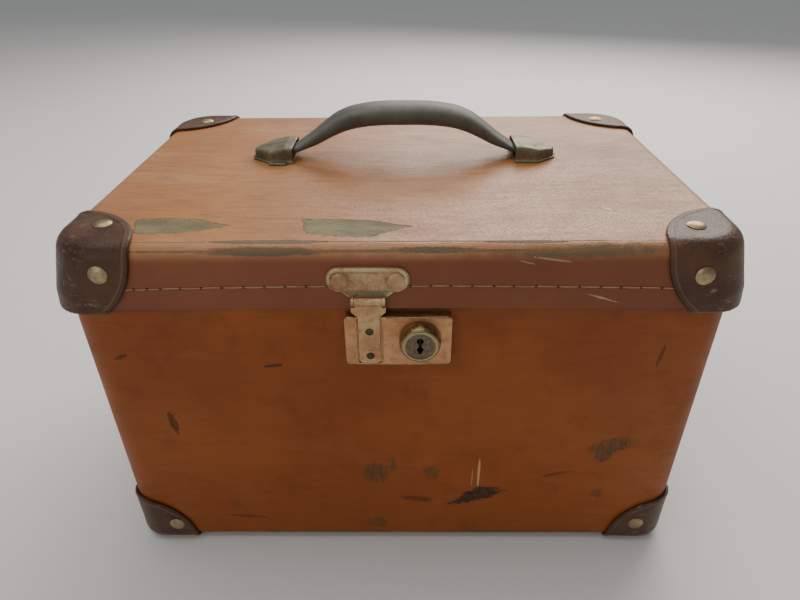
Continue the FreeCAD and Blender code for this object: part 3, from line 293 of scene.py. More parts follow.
def fibre_lid():
    M = Mat("fibre_lid")
    g, streak = grain(M, (0.30, 1.0, 1.0))
    jag = M.noise(210.0, 5.0, 0.66)
    jag2 = M.noise(600.0, 4.0, 0.7, dist=0.6)
    big = M.noise(8.0, 4.0, 0.6)
    mid = M.noise(38.0, 5.0, 0.62, dist=0.4, stretch=(0.5, 1.0, 1.0))
    top = M.rng(M.z, 0.2065, 0.2138)
    # painted light: the top face gets a far lighter colour than the skirt, a lit top and a shaded front painted as two
    # colours of one leathercloth
    base = M.mix(M.rng(big, 0.35, 0.68), (0.190, 0.050, 0.016), (0.245, 0.074, 0.025))
    lit_top_col = M.mix(M.rng(big, 0.30, 0.70), (0.41, 0.170, 0.058), (0.51, 0.230, 0.083))
    base = M.mix(M.f("MULTIPLY", top, 0.85), base, lit_top_col)
    base = M.mix(M.f("MULTIPLY", M.rng(mid, 0.48, 0.72), 0.36), base, (0.20, 0.066, 0.024))
    base = M.mix(M.f("MULTIPLY", M.rng(streak, 0.44, 0.72), M.f("ADD", 0.16, M.f("MULTIPLY", top, 0.30))), base, (0.21, 0.080, 0.032))
    bloom = M.rng(M.noise(20.0, 6.0, 0.72, dist=0.8, stretch=(0.4, 1.0, 1.0)), 0.52, 0.74)
    base = M.mix(M.f("MULTIPLY", bloom, M.f("MULTIPLY", top, 0.45)), base, (0.62, 0.37, 0.20))
    isfront = M.f("LESS_THAN", M.y, -0.1085)
    # peeled places on the top show grey-green board
    tear = M.noise(95.0, 7.0, 0.74, dist=0.3, stretch=(0.45, 1.3, 1.0))
    p1 = M.poly(M.x, M.y, [(-137.5, -83.2), (-130.7, -99.0), (-118.2, -99.9), (-103.5, -98.6), (-86.5, -90.4), (-99.7, -85.0), (-118.8, -82.0)], tear, 7.0, 0.35)
    p2 = M.poly(M.x, M.y, [(-49.2, -84.3), (-45.8, -101.4), (-28.2, -104.0), (-12.6, -103.8), (5.5, -93.3), (-9.2, -87.0), (-30.0, -84.3)], tear, 7.5, 0.35)
    p3 = M.ell(M.x, M.y, -66, -82.8, 17, 0.8, -2, jag, 0.5)
    p4 = M.ell(M.x, M.y, 111, -71.8, 4.4, 1.6, -38, jag, 0.35)
    istop = M.f("GREATER_THAN", M.z, 0.2128)
    board = M.f("MULTIPLY", M.mx(p1, p2, M.f("MULTIPLY", p3, 0.55)), istop)
    # rubbed line where the top rolls over to the front, and the strips below it
    band = M.noise(90.0, 5.0, 0.7, stretch=(0.35, 1.0, 1.0))
    l1 = M.f("MULTIPLY", M.rng(M.f("ABSOLUTE", M.f("ADD", M.y, 0.1098)), 0.0, 0.00095, 1.0, 0.0), M.rng(band, 0.34, 0.52))
    l1 = M.f("MULTIPLY", l1, istop)
    l1b = M.f("MULTIPLY", M.ell(M.x, M.y, -62, -109.6, 30, 1.6, 0, jag, 0.5), istop)
    l1c = M.f("MULTIPLY", M.ell(M.x, M.y, 62, -110.4, 22, 1.1, 0, jag, 0.5), istop)
    w1 = M.ell(M.x, M.z, -64, 212.0, 29, 1.6, 0, jag, 0.55, 0.30)
    w2 = M.ell(M.x, M.z, 17, 212.5, 20, 1.1, 0, jag, 0.6, 0.30)
    w3 = M.f("MULTIPLY", M.ell(M.x, M.z, 91, 211.6, 35, 2.1, 1.5, jag, 0.75, 0.45), 0.85)
    w4 = M.f("MULTIPLY", M.ell(M.x, M.z, -5, 212.2, 142, 0.55, 0, jag, 0.8, 0.4), 0.75)
    strips = M.f("MULTIPLY", M.mx(w1, w2, w3, w4), isfront)
    wear = M.mx(M.f("MULTIPLY", l1, 0.65), l1b, l1c, strips)
    # sides and back: rubbed at the rolled edge in places
    axx = M.f("ABSOLUTE", M.x)
    roll = M.f("MULTIPLY", M.rng(M.f("ABSOLUTE", M.f("SUBTRACT", M.z, 0.2122)), 0.0, 0.0022, 1.0, 0.0), M.rng(M.noise(42.0, 6.0, 0.7, stretch=(0.5, 0.5, 1.0)), 0.57, 0.66))
    roll = M.f("MULTIPLY", roll, M.f("SUBTRACT", 1.0, isfront))
    # white scratches at the right of the skirt
    sc = M.mx(M.poly(M.x, M.z, [(90.5, 190.6), (99.5, 188.9), (111.5, 184.4), (111.0, 183.6), (99.0, 187.8), (90.5, 189.9)], jag2, 0.5, 0.12),
              M.f("MULTIPLY", M.ell(M.x, M.z, 74, 208.5, 9, 0.45, -8, jag2, 0.8), 0.8),
              M.f("MULTIPLY", M.ell(M.x, M.z, 62, 207.0, 4, 0.35, -14, jag2, 0.8), 0.7))
    sc = M.f("MULTIPLY", sc, isfront)
    hair = M.voronoi(26.0, M.v("MULTIPLY", M.v("ADD", M.P, M.v("SCALE", M.noise(22.0, 1.0, 0.5, colour=True), scale=0.03)), (0.25, 1.0, 1.0)), "DISTANCE_TO_EDGE")
    hair = M.f("MULTIPLY", M.rng(hair, 0.0, 0.010, 1.0, 0.0), M.rng(M.noise(30.0, 3.0, 0.6), 0.55, 0.66))
    base = M.mix(M.f("MULTIPLY", hair, 0.45), base, (0.16, 0.07, 0.035))
    # painted highlight: the rolled edge between the two lines is painted lighter where it catches the light
    pale = M.f("MULTIPLY", M.rng(M.z, 0.2118, 0.2132), M.f("MULTIPLY", isfront, M.rng(M.y, -0.1105, -0.1125)))
    base = M.mix(M.f("MULTIPLY", pale, 0.5), base, (0.44, 0.205, 0.085))
    # painted shade: the skirt is darker towards its lower edge
    hem = M.f("MULTIPLY", M.rng(M.z, 0.1805, 0.1835, 1.0, 0.0), M.rng(M.noise(60.0, 4.0, 0.6), 0.35, 0.6, 0.35, 0.85))
    base = M.mix(hem, base, (0.085, 0.030, 0.012))
    gcol = M.mix(M.rng(M.noise(120.0, 5.0, 0.6, stretch=(0.4, 1.0, 1.0)), 0.35, 0.65), (0.112, 0.104, 0.046), (0.195, 0.176, 0.082))
    base = M.mix(M.f("MULTIPLY", board, 0.93), base, gcol)
    base = M.mix(M.f("MULTIPLY", wear, 0.80), base, M.mix(jag2, (0.050, 0.050, 0.030), (0.135, 0.128, 0.075)))
    base = M.mix(M.f("MULTIPLY", roll, 0.75), base, M.mix(jag2, (0.10, 0.09, 0.05), (0.24, 0.21, 0.13)))
    base = M.mix(M.f("MULTIPLY", sc, 0.75), base, (0.46, 0.33, 0.25))
    base = M.mix(M.f("MULTIPLY", M.f("MULTIPLY", p4, istop), 0.45), base, (0.78, 0.60, 0.44))
    bare = M.mx(board, wear, roll)
    rough = M.rng(M.f("ADD", mid, M.f("MULTIPLY", streak, 0.6)), 0.4, 1.1, 0.30, 0.48)
    rough = M.f("ADD", rough, M.f("ADD", M.f("MULTIPLY", bare, 0.26), M.rng(top, 0.0, 1.0, 0.16, 0.0)))
    hgt = M.f("SUBTRACT", M.f("MULTIPLY", g, 0.32), M.f("MULTIPLY", bare, 1.0))
    hgt = M.f("ADD", hgt, M.f("MULTIPLY", M.f("MULTIPLY", p4, istop), 1.2))
    n1 = M.bump(M.noise(13.0, 3.0, 0.5), 0.30, 0.0030)
    n2 = M.bump(hgt, 1.0, 0.00048, n1)
    return M.done(base, rough, 0.0, n2, spec=0.42)


def corner_leather(name, centre, radius, sx, sy, low):
    M = Mat(name)
    c = Vector(centre) * MM
    d = M.v("DISTANCE", M.P, tuple(c))
    big = M.noise(40.0, 4.0, 0.6)
    fine = M.noise(900.0, 4.0, 0.65)
    creases = M.voronoi(420.0, M.v("ADD", M.P, M.v("SCALE", M.noise(120.0, 3.0, 0.6, colour=True), scale=0.004)), "DISTANCE_TO_EDGE")
    base = M.mix(M.rng(big, 0.3, 0.7), (0.052, 0.0205, 0.0085), (0.108, 0.049, 0.021))
    base = M.mix(M.f("MULTIPLY", M.rng(fine, 0.45, 0.75), 0.30), base, (0.115, 0.062, 0.042))
    # the line tooled along the inner border
    r = radius * MM
    line = M.rng(M.f("ABSOLUTE", M.f("SUBTRACT", d, r - 0.0026)), 0.0001, 0.0007, 1.0, 0.0)
    line = M.f("MULTIPLY", line, M.rng(M.noise(90.0, 3.0, 0.6), 0.30, 0.55, 0.45, 1.0))
    rim = M.rng(d, r - 0.0011, r - 0.0002)
    base = M.mix(M.f("MULTIPLY", line, 0.30), base, (0.24, 0.165, 0.115))
    base = M.mix(M.f("MULTIPLY", rim, 0.55), base, (0.035, 0.018, 0.013))
    # scuffs where the corner sticks out furthest
    out = M.f("ADD", M.f("MULTIPLY", M.x, sx), M.f("MULTIPLY", M.y, sy))
    lim = (BODY_HX + BODY_HY - (17.0 if low else 12.0)) * MM
    outer = M.rng(out, lim - 0.012, lim + 0.003)
    sc = M.noise(230.0, 7.0, 0.75, dist=0.9, stretch=(0.6, 0.6, 1.3))
    sc = M.f("MULTIPLY", M.rng(sc, 0.565, 0.64), M.f("ADD", M.f("MULTIPLY", outer, 0.85), 0.05))
    zedge = M.rng(M.z, (0.2075 if not low else 0.0), (0.2165 if not low else 0.006)) if not low else M.rng(M.z, 0.006, 0.0005)
    sc2 = M.f("MULTIPLY", M.rng(M.noise(300.0, 6.0, 0.72, stretch=(0.5, 0.8, 1.0)), 0.56, 0.66), M.f("MULTIPLY", zedge, 0.35))
    lowedge = M.f("MULTIPLY", M.rng(M.z, LID_Z0 * MM + 0.0014, LID_Z0 * MM + 0.0004), 0.0 if low else 0.55)
    scuff = M.mx(sc, sc2, M.f("MULTIPLY", lowedge, M.rng(big, 0.4, 0.6)))
    base = M.mix(M.f("MULTIPLY", scuff, 0.62), base, (0.30, 0.235, 0.175))
    rough = M.f("ADD", M.rng(big, 0.3, 0.7, 0.36, 0.50), M.f("MULTIPLY", scuff, 0.22))
    h = M.f("ADD", M.f("MULTIPLY", fine, 0.4), M.f("MULTIPLY", M.rng(creases, 0.0, 0.12), 0.5))
    h = M.f("SUBTRACT", h, M.f("MULTIPLY", scuff, 0.5))
    n = M.bump(h, 0.5, 0.00022)
    return M.done(base, rough, 0.0, n, spec=0.30)


def aged_metal(name, col, dirt, pale, rough=(0.34, 0.56), spots=0.5, stipple=None, metal=1.0, scale=1.0, scratch=0.35):
    M = Mat(name)
    big = M.noise(70.0 * scale, 4.0, 0.6)
    mid = M.noise(330.0 * scale, 6.0, 0.7, dist=0.4)
    fine = M.noise(1900.0, 4.0, 0.7)
    sc = M.noise(420.0, 3.0, 0.6, stretch=(1.0, 1.0, 0.06))
    sc2 = M.noise(420.0, 3.0, 0.6, stretch=(0.06, 1.0, 1.0))
    base = M.mix(M.rng(big, 0.32, 0.68), col, pale)
    base = M.mix(M.f("MULTIPLY", M.rng(mid, 0.50, 0.66), spots), base, dirt)
    base = M.mix(M.f("MULTIPLY", M.rng(M.mx(sc, sc2), 0.60, 0.70), scratch), base, pale)
    r = M.rng(M.f("ADD", M.f("MULTIPLY", mid, 0.7), M.f("MULTIPLY", fine, 0.3)), 0.35, 0.68, rough[0], rough[1])
    met = M.rng(mid, 0.48, 0.72, metal, metal * 0.62)
    h = M.f("ADD", M.f("MULTIPLY", mid, 0.8), M.f("MULTIPLY", fine, 0.25))
    h = M.f("ADD", h, M.f("MULTIPLY", M.mx(sc, sc2), 0.25))
    n = M.bump(h, 0.35, 0.00012)
    if stipple:
        st = M.voronoi(stipple)
        n = M.bump(M.rng(st, 0.10, 0.55), 0.75, 0.00022, n)
    return M.done(base, r, met, n)


def barrel_metal():
    M = Mat("barrel_metal")
    dx = M.f("SUBTRACT", M.x, 0.011)
    dz = M.f("SUBTRACT", M.z, 0.1654)
    rad = M.f("SQRT", M.f("ADD", M.f("MULTIPLY", dx, dx), M.f("MULTIPLY", dz, dz)))
    mid = M.noise(420.0, 6.0, 0.7)
    base = M.mix(M.rng(mid, 0.35, 0.65), (0.20, 0.150, 0.072), (0.34, 0.27, 0.145))
    # painted highlight: a bright arc on the lower half of the rim
    rim = M.f("MULTIPLY", M.rng(rad, 0.0099, 0.0105), M.rng(dz, 0.002, -0.004))
    base = M.mix(M.f("MULTIPLY", rim, 0.85), base, (0.80, 0.62, 0.36))
    lip = M.f("MULTIPLY", M.rng(M.f("ABSOLUTE", M.f("SUBTRACT", rad, 0.0082)), 0.0001, 0.0005, 1.0, 0.0), 0.7)
    base = M.mix(lip, base, (0.62, 0.48, 0.28))
    h = M.f("ADD", mid, M.f("MULTIPLY", M.noise(1800.0, 3.0, 0.6), 0.3))
    return M.done(base, M.rng(mid, 0.3, 0.7, 0.24, 0.46), 1.0, M.bump(h, 0.3, 0.00012))


def plug_metal():
    M = Mat("plug_metal")
    mid = M.noise(520.0, 6.0, 0.7)
    dx = M.f("SUBTRACT", M.x, 0.011)
    dz = M.f("SUBTRACT", M.z, 0.1654)
    rad = M.f("SQRT", M.f("ADD", M.f("MULTIPLY", dx, dx), M.f("MULTIPLY", dz, dz)))
    base = M.mix(M.rng(mid, 0.35, 0.65), (0.11, 0.080, 0.052), (0.23, 0.175, 0.12))
    base = M.mix(M.rng(rad, 0.0068, 0.0076), base, (0.30, 0.225, 0.14))
    # painted shade: the keyway behind the plug's face is painted near black
    hole = M.f("GREATER_THAN", M.y, -0.1262)
    base = M.mix(M.f("MULTIPLY", hole, 0.85), base, (0.008, 0.006, 0.004))
    return M.done(base, M.rng(mid, 0.3, 0.7, 0.34, 0.55), 0.85, M.bump(mid, 0.3, 0.00012))


def woven(name, c1, c2, pitch=0.00055, moire=0.35):
    M = Mat(name)
    k = math.pi / pitch
    a = M.f("ADD", M.x, M.f("MULTIPLY", M.y, 0.7071))
    b = M.f("ADD", M.z, M.f("MULTIPLY", M.y, 0.7071))
    wob = M.f("MULTIPLY", M.noise(70.0, 2.0, 0.5), 0.0006)
    s1 = M.f("SINE", M.f("MULTIPLY", M.f("ADD", a, wob), k))
    s2 = M.f("SINE", M.f("MULTIPLY", M.f("ADD", b, wob), k))
    w = M.f("MULTIPLY", s1, s2)
    big = M.noise(16.0, 4.0, 0.6, dist=1.2, stretch=(1.0, 1.0, 0.3))
    wat = M.f("SINE", M.f("MULTIPLY", big, 46.0))
    base = M.mix(M.rng(w, -0.8, 0.8), c1, c2)
    base = M.mix(M.f("MULTIPLY", M.rng(wat, 0.2, 1.0), moire), base, tuple(min(1, v * 1.25) for v in c2))
    stain = M.rng(M.noise(11.0, 6.0, 0.68, dist=0.6), 0.56, 0.70)
    base = M.mix(M.f("MULTIPLY", stain, 0.35), base, tuple(v * 0.55 for v in c1))
    rough = M.rng(wat, -1.0, 1.0, 0.62, 0.80)
    n = M.bump(M.f("ADD", M.f("MULTIPLY", w, 0.5), M.noise(1500.0, 3.0, 0.6)), 0.45, 0.00016)
    n = M.bump(M.noise(24.0, 4.0, 0.55, dist=0.6), 0.35, 0.0016, n)
    M.b.inputs["Sheen Weight"].default_value = 0.25
    M.b.inputs["Sheen Roughness"].default_value = 0.5
    return M.done(base, rough, 0.0, n, spec=0.3)


def paper_board(name, c1, c2):
    M = Mat(name)
    big = M.noise(18.0, 5.0, 0.6)
    fib = M.noise(700.0, 5.0, 0.7, stretch=(0.25, 1.0, 1.0))
    spk = M.voronoi(260.0)
    base = M.mix(M.rng(big, 0.35, 0.66), c1, c2)
    base = M.mix(M.f("MULTIPLY", M.rng(fib, 0.5, 0.75), 0.3), base, tuple(v * 0.7 for v in c1))
    base = M.mix(M.f("MULTIPLY", M.rng(spk, 0.10, 0.02), 0.45), base, tuple(v * 0.35 for v in c1))
    stain = M.rng(M.noise(26.0, 6.0, 0.7, dist=0.8), 0.60, 0.68)
    base = M.mix(M.f("MULTIPLY", stain, 0.3), base, (0.30, 0.20, 0.11))
    n = M.bump(M.f("ADD", fib, M.f("MULTIPLY", big, 0.8)), 0.4, 0.00016)
    return M.done(base, M.rng(fib, 0.3, 0.7, 0.62, 0.80), 0.0, n, spec=0.35)


def wood(name):
    M = Mat(name)
    v = M.v("MULTIPLY", M.P, (1.0, 9.0, 9.0))
    rings = M.noise(26.0, 5.0, 0.6, vec=v, dist=0.9)
    pores = M.noise(520.0, 4.0, 0.65, stretch=(0.07, 1.0, 1.0))
    base = M.mix(M.rng(rings, 0.3, 0.7), (0.30, 0.165, 0.075), (0.47, 0.29, 0.15))
    base = M.mix(M.f("MULTIPLY", M.rng(pores, 0.52, 0.72), 0.5), base, (0.12, 0.055, 0.022))
    n = M.bump(M.f("ADD", M.f("MULTIPLY", rings, 0.4), pores), 0.35, 0.00014)
    return M.done(base, M.rng(pores, 0.3, 0.7, 0.30, 0.46), 0.0, n, coat=0.35, coat_rough=0.18)


def mirror_mat():
    M = Mat("mirror_silver")
    sp = M.noise(60.0, 7.0, 0.75, dist=0.4)
    ex = M.f("SUBTRACT", 0.111, M.f("ABSOLUTE", M.x))
    ey = M.f("SUBTRACT", 0.071, M.f("ABSOLUTE", M.y))
    e = M.f("MINIMUM", ex, ey)
    fox = M.f("MULTIPLY", M.rng(e, 0.014, 0.0), M.rng(sp, 0.50, 0.62))
    spot = M.rng(M.voronoi(90.0), 0.06, 0.02)
    fx = M.mx(fox, M.f("MULTIPLY", spot, 0.6))
    base = M.mix(fx, (0.80, 0.82, 0.81), (0.16, 0.12, 0.08))
    rough = M.rng(fx, 0.0, 1.0, 0.03, 0.42)
    n = M.bump(M.noise(30.0, 2.0, 0.5), 0.05, 0.0003)
    return M.done(base, rough, M.rng(fx, 0.0, 1.0, 1.0, 0.4), n)


def handle_leather():
    M = Mat("handle_leather")
    big = M.noise(28.0, 4.0, 0.6)
    fine = M.noise(1100.0, 4.0, 0.7)
    cells = M.voronoi(1300.0, M.v("ADD", M.P, M.v("SCALE", M.noise(300.0, 2.0, 0.5, colour=True), scale=0.0015)))
    base = M.mix(M.rng(big, 0.32, 0.68), (0.078, 0.075, 0.062), (0.125, 0.122, 0.105))
    base = M.mix(M.f("MULTIPLY", M.rng(fine, 0.5, 0.78), 0.35), base, (0.18, 0.175, 0.15))
    # worn paler along the two edges
    att = M.nt.nodes.new("ShaderNodeAttribute")
    att.attribute_name = "edge"
    ed = M.f("MULTIPLY", att.outputs["Fac"], M.rng(M.noise(75.0, 5.0, 0.68), 0.30, 0.62, 0.35, 1.0))
    base = M.mix(M.f("MULTIPLY", ed, 0.65), base, (0.33, 0.31, 0.25))
    speck = M.rng(M.voronoi(150.0), 0.035, 0.018)
    base = M.mix(M.f("MULTIPLY", speck, 0.7), base, (0.50, 0.46, 0.38))
    crack = M.voronoi(110.0, M.v("MULTIPLY", M.v("ADD", M.P, M.v("SCALE", M.noise(80.0, 3.0, 0.6, colour=True), scale=0.006)), (1.6, 0.5, 1.0)), "DISTANCE_TO_EDGE")
    crack = M.f("MULTIPLY", M.rng(crack, 0.0, 0.035, 1.0, 0.0), M.rng(M.noise(48.0, 3.0, 0.6), 0.50, 0.64))
    base = M.mix(M.f("MULTIPLY", crack, 0.5), base, (0.030, 0.026, 0.020))
    rough = M.rng(M.f("ADD", fine, M.f("MULTIPLY", big, 0.6)), 0.5, 1.1, 0.44, 0.60)
    h = M.f("ADD", M.f("MULTIPLY", M.rng(cells, 0.05, 0.55), 0.6), M.f("MULTIPLY", fine, 0.4))
    h = M.f("SUBTRACT", h, M.f("MULTIPLY", crack, 0.8))
    return M.done(base, rough, 0.0, M.bump(h, 0.45, 0.00018), spec=0.28)


def plain_leather(name, c1, c2):
    M = Mat(name)
    big = M.noise(60.0, 4.0, 0.6)
    fine = M.noise(1200.0, 4.0, 0.7)
    base = M.mix(M.rng(big, 0.3, 0.7), c1, c2)
    base = M.mix(M.f("MULTIPLY", M.rng(fine, 0.5, 0.75), 0.3), base, tuple(v * 1.7 for v in c2))
    return M.done(base, M.rng(big, 0.3, 0.7, 0.42, 0.58), 0.0, M.bump(fine, 0.5, 0.0002), spec=0.45)


def thread_mat():
    M = Mat("waxed_thread")
    tw = M.f("SINE", M.f("MULTIPLY", M.f("ADD", M.f("ADD", M.x, M.y), M.f("MULTIPLY", M.z, 1.6)), 9000.0))
    base = M.mix(M.rng(tw, -0.7, 0.7), (0.30, 0.165, 0.095), (0.56, 0.37, 0.25))
    base = M.mix(M.rng(M.noise(90.0, 3.0, 0.6), 0.45, 0.70), base, (0.34, 0.175, 0.10))
    return M.done(base, 0.62, 0.0, M.bump(tw, 0.5, 0.00012), spec=0.35)


def hole_shade_mat():
    # painted shade: near-black colour for the needle holes
    M = Mat("needle_hole_shade")
    base = M.mix(M.noise(900.0, 3.0, 0.6), (0.020, 0.009, 0.005), (0.055, 0.022, 0.012))
    return M.done(base, 0.85, 0.0, M.bump(M.noise(1500.0, 2.0, 0.5), 0.4, 0.0001), spec=0.2)


def steel_mat():
    M = Mat("strip_steel")
    br = M.noise(900.0, 3.0, 0.6, stretch=(1.0, 0.04, 0.04))
    big = M.noise(50.0, 5.0, 0.65)
    base = M.mix(M.rng(br, 0.3, 0.7), (0.36, 0.35, 0.33), (0.56, 0.55, 0.52))
    rust = M.rng(big, 0.58, 0.68)
    base = M.mix(M.f("MULTIPLY", rust, 0.6), base, (0.20, 0.085, 0.035))
    return M.done(base, M.f("ADD", M.rng(br, 0.3, 0.7, 0.28, 0.42), M.f("MULTIPLY", rust, 0.25)), M.rng(rust, 0.0, 1.0, 1.0, 0.35), M.bump(br, 0.3, 0.0001))


MATS = {
    "fibre_body": fibre_body(),
    "fibre_lid": fibre_lid(),
    "lining": woven("lining_cloth", (0.50, 0.40, 0.285), (0.66, 0.56, 0.43)),
    "rivet": aged_metal("rivet_metal", (0.31, 0.225, 0.120), (0.12, 0.070, 0.034), (0.45, 0.35, 0.205), (0.34, 0.56), 0.6),
    "hinge": aged_metal("hinge_metal", (0.40, 0.32, 0.20), (0.14, 0.10, 0.06), (0.55, 0.46, 0.31), (0.36, 0.58), 0.5),
    "lock": aged_metal("lock_brass", (0.53, 0.255, 0.115), (0.23, 0.100, 0.048), (0.64, 0.36, 0.19), (0.36, 0.58), 0.42, scale=0.7),
    "hasp": aged_metal("hasp_brass", (0.41, 0.225, 0.112), (0.20, 0.105, 0.055), (0.58, 0.43, 0.245), (0.36, 0.58), 0.5, stipple=1300.0),
    "tongue": aged_metal("tongue_brass", (0.49, 0.255, 0.118), (0.24, 0.115, 0.060), (0.64, 0.42, 0.24), (0.36, 0.58), 0.42, stipple=950.0),
    "knurl": aged_metal("knurl_brass", (0.52, 0.40, 0.20), (0.20, 0.125, 0.06), (0.66, 0.55, 0.33), (0.34, 0.52), 0.4),
    "studs": aged_metal("dark_studs", (0.060, 0.045, 0.030), (0.022, 0.016, 0.011), (0.110, 0.088, 0.060), (0.50, 0.70), 0.5, metal=0.6),
    "dark": aged_metal("dark_brass", (0.20, 0.155, 0.085), (0.07, 0.05, 0.03), (0.30, 0.24, 0.15), (0.34, 0.55), 0.5),
    "steel": steel_mat(),
    "barrel": barrel_metal(),
    "plug": plug_metal(),
    "hood": aged_metal("hood_metal", (0.135, 0.118, 0.074), (0.060, 0.050, 0.032), (0.24, 0.215, 0.140), (0.42, 0.64), 0.5, metal=0.8),
    "mirror": mirror_mat(),
    "wood": wood("frame_wood"),
    "board": paper_board("tray_board", (0.56, 0.45, 0.31), (0.66, 0.55, 0.40)),
    "tab": plain_leather("tab_leather", (0.20, 0.095, 0.040), (0.30, 0.155, 0.070)),
    "handle": handle_leather(),
    "thread": thread_mat(),
    "hole": hole_shade_mat(),
}

ASSIGN = {
    "body_shell": "fibre_body", "lid_shell": "fibre_lid", "body_lining": "lining", "lid_lining": "lining",
    "lower_corner_rivets": "rivet", "lower_corner_washers": "steel", "lid_corner_rivets": "rivet", "lid_corner_washers": "steel",
    "hinge_body_leaf_left": "hinge", "hinge_body_leaf_right": "hinge", "hinge_lid_leaf_left": "hinge", "hinge_lid_leaf_right": "hinge",
    "hinge_pins": "hinge", "hinge_body_rivets": "hinge", "hinge_lid_rivets": "hinge",
    "lock_plate": "lock", "lock_back_plate": "steel", "lock_rivets": "dark", "lock_barrel": "barrel", "lock_bolt": "steel",
    "lock_plug": "plug", "lock_cam": "dark", "hasp_bracket": "hasp", "hasp_pin": "dark", "hasp_bracket_rivets": "hasp",
    "hasp_tongue": "tongue", "hasp_lug": "dark", "hasp_lug_rivets": "studs", "handle_core": "steel", "handle_hood_left": "hood",
    "handle_hood_right": "hood", "handle_base_plates": "dark", "handle_posts": "dark", "handle_backing_plates": "steel",
    "stay_bar_left": "steel", "stay_bar_right": "steel", "stay_lid_brackets": "hinge", "stay_body_studs": "hinge",
    "stay_lid_rivets": "rivet", "stay_body_rivets": "rivet", "tray_ledges": "wood", "tray_base": "board", "tray_walls": "board",
    "tray_dividers": "board", "tray_lift_tabs": "tab", "tray_tab_rivets": "rivet", "mirror_frame": "wood", "mirror_glass": "mirror",
    "mirror_screws": "hinge",
}
for name, key in ASSIGN.items():
    o = NODES[name]
    o.data.materials.clear()
    o.data.materials.append(MATS[key])


# --------------------------------------------------------------- mesh helpers
def new_mesh(name, verts, faces, mat, body, smooth=True):
    """verts in millimetres"""
    me = bpy.data.meshes.new(name)
    me.from_pydata([tuple(c * MM for c in p) for p in verts], [], faces)
    me.validate()
    me.update()
    if smooth:
        for p in me.polygons:
            p.use_smooth = True
    o = bpy.data.objects.new(name, me)
    bpy.context.scene.collection.objects.link(o)
    me.materials.append(mat)
    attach(o, body)
    return o


class Build:
    """Collects several closed forms in one mesh, in millimetres."""

    def __init__(self):
        self.v, self.f = [], []

    def add(self, vs, fs):
        k = len(self.v)
        self.v += [tuple(p) for p in vs]
        self.f += [tuple(i + k for i in f) for f in fs]

    def tube(self, path, rad, seg=8, closed=False, squash=1.0, up=(0, 0, 1)):
        """A round bar along path; rad is a number or one per point."""
        path = [Vector(p) for p in path]
        n = len(path)
        rads = rad if isinstance(rad, (list, tuple)) else [rad] * n
        vs, fs = [], []
        for i, p in enumerate(path):
            a = path[(i - 1) % n] if closed or i > 0 else p
            b = path[(i + 1) % n] if closed or i < n - 1 else p
            t = (b - a).normalized()
            u = Vector(up)
            s = t.cross(u)
            if s.length < 1e-6:
                u = Vector((1, 0, 0))
                s = t.cross(u)
            s.normalize()
            w = s.cross(t).normalized()
            for k in range(seg):
                q = 2 * math.pi * k / seg
                vs.append(p + s * (math.cos(q) * rads[i]) + w * (math.sin(q) * rads[i] * squash))
        m = n if closed else n - 1
        for i in range(m):
            for k in range(seg):
                a, b = i * seg + k, i * seg + (k + 1) % seg
                c, d = ((i + 1) % n) * seg + (k + 1) % seg, ((i + 1) % n) * seg + k
                fs.append((a, b, c, d))
        if not closed:
            fs.append(tuple(range(seg))[::-1])
            fs.append(tuple((n - 1) * seg + k for k in range(seg)))
        self.add(vs, fs)

    def bead(self, c, ax, ay, az, ra, rb, rc, seg=10, rings=6):
        """An ellipsoid at c with half sizes ra, rb, rc along the unit vectors ax, ay, az."""
        c, ax, ay, az = Vector(c), Vector(ax), Vector(ay), Vector(az)
        vs, fs = [c + az * rc], []
        for i in range(1, rings):
            ph = math.pi * i / rings
            for k in range(seg):
                q = 2 * math.pi * k / seg
                vs.append(c + ax * (ra * math.sin(ph) * math.cos(q)) + ay * (rb * math.sin(ph) * math.sin(q)) + az * (rc * math.cos(ph)))
        vs.append(c - az * rc)
        for k in range(seg):
            fs.append((0, 1 + k, 1 + (k + 1) % seg))
        for i in range(rings - 2):
            for k in range(seg):
                a, b = 1 + i * seg + k, 1 + i * seg + (k + 1) % seg
                fs.append((a, a + seg, b + seg, b))
        last = len(vs) - 1
        base = 1 + (rings - 2) * seg
        for k in range(seg):
            fs.append((last, base + (k + 1) % seg, base + k))
        self.add(vs, fs)

    def make(self, name, mat, body, smooth=True, slot=None):
        return new_mesh(name, self.v, self.f, mat, body, smooth)


def from_node(node, voxel, rounds, smooth_rounds=4, factor=0.5):
    """A fine, soft-edged copy of a CAD node's mesh as numpy vertices and normals plus a new mesh."""
    src = NODES[node]
    me = src.data.copy()
    tmp = bpy.data.objects.new("tmp_" + node, me)
    bpy.context.scene.collection.objects.link(tmp)
    w = tmp.modifiers.new("w", "WELD")
    w.merge_threshold = 0.00001
    r = tmp.modifiers.new("r", "REMESH")
    r.mode = "VOXEL"
    r.voxel_size = voxel
    s = tmp.modifiers.new("s", "SMOOTH")
    s.factor = factor
    s.iterations = smooth_rounds
    dg = bpy.context.evaluated_depsgraph_get()
    out = bpy.data.meshes.new_from_object(tmp.evaluated_get(dg))
    bpy.data.objects.remove(tmp)
    bpy.data.meshes.remove(me)
    n = len(out.vertices)
    co = np.zeros(n * 3)
    out.vertices.foreach_get("co", co)
    no = np.zeros(n * 3)
    out.vertices.foreach_get("normal", no)
    return out, co.reshape(-1, 3), no.reshape(-1, 3)


def finish_mesh(me, co, name, mat, body):
    me.vertices.foreach_set("co", co.ravel())
    me.update()
    for p in me.polygons:
        p.use_smooth = True
    me.materials.clear()
    me.materials.append(mat)
    me.name = name
    o = bpy.data.objects.new(name, me)
    bpy.context.scene.collection.objects.link(o)
    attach(o, body)
    return o


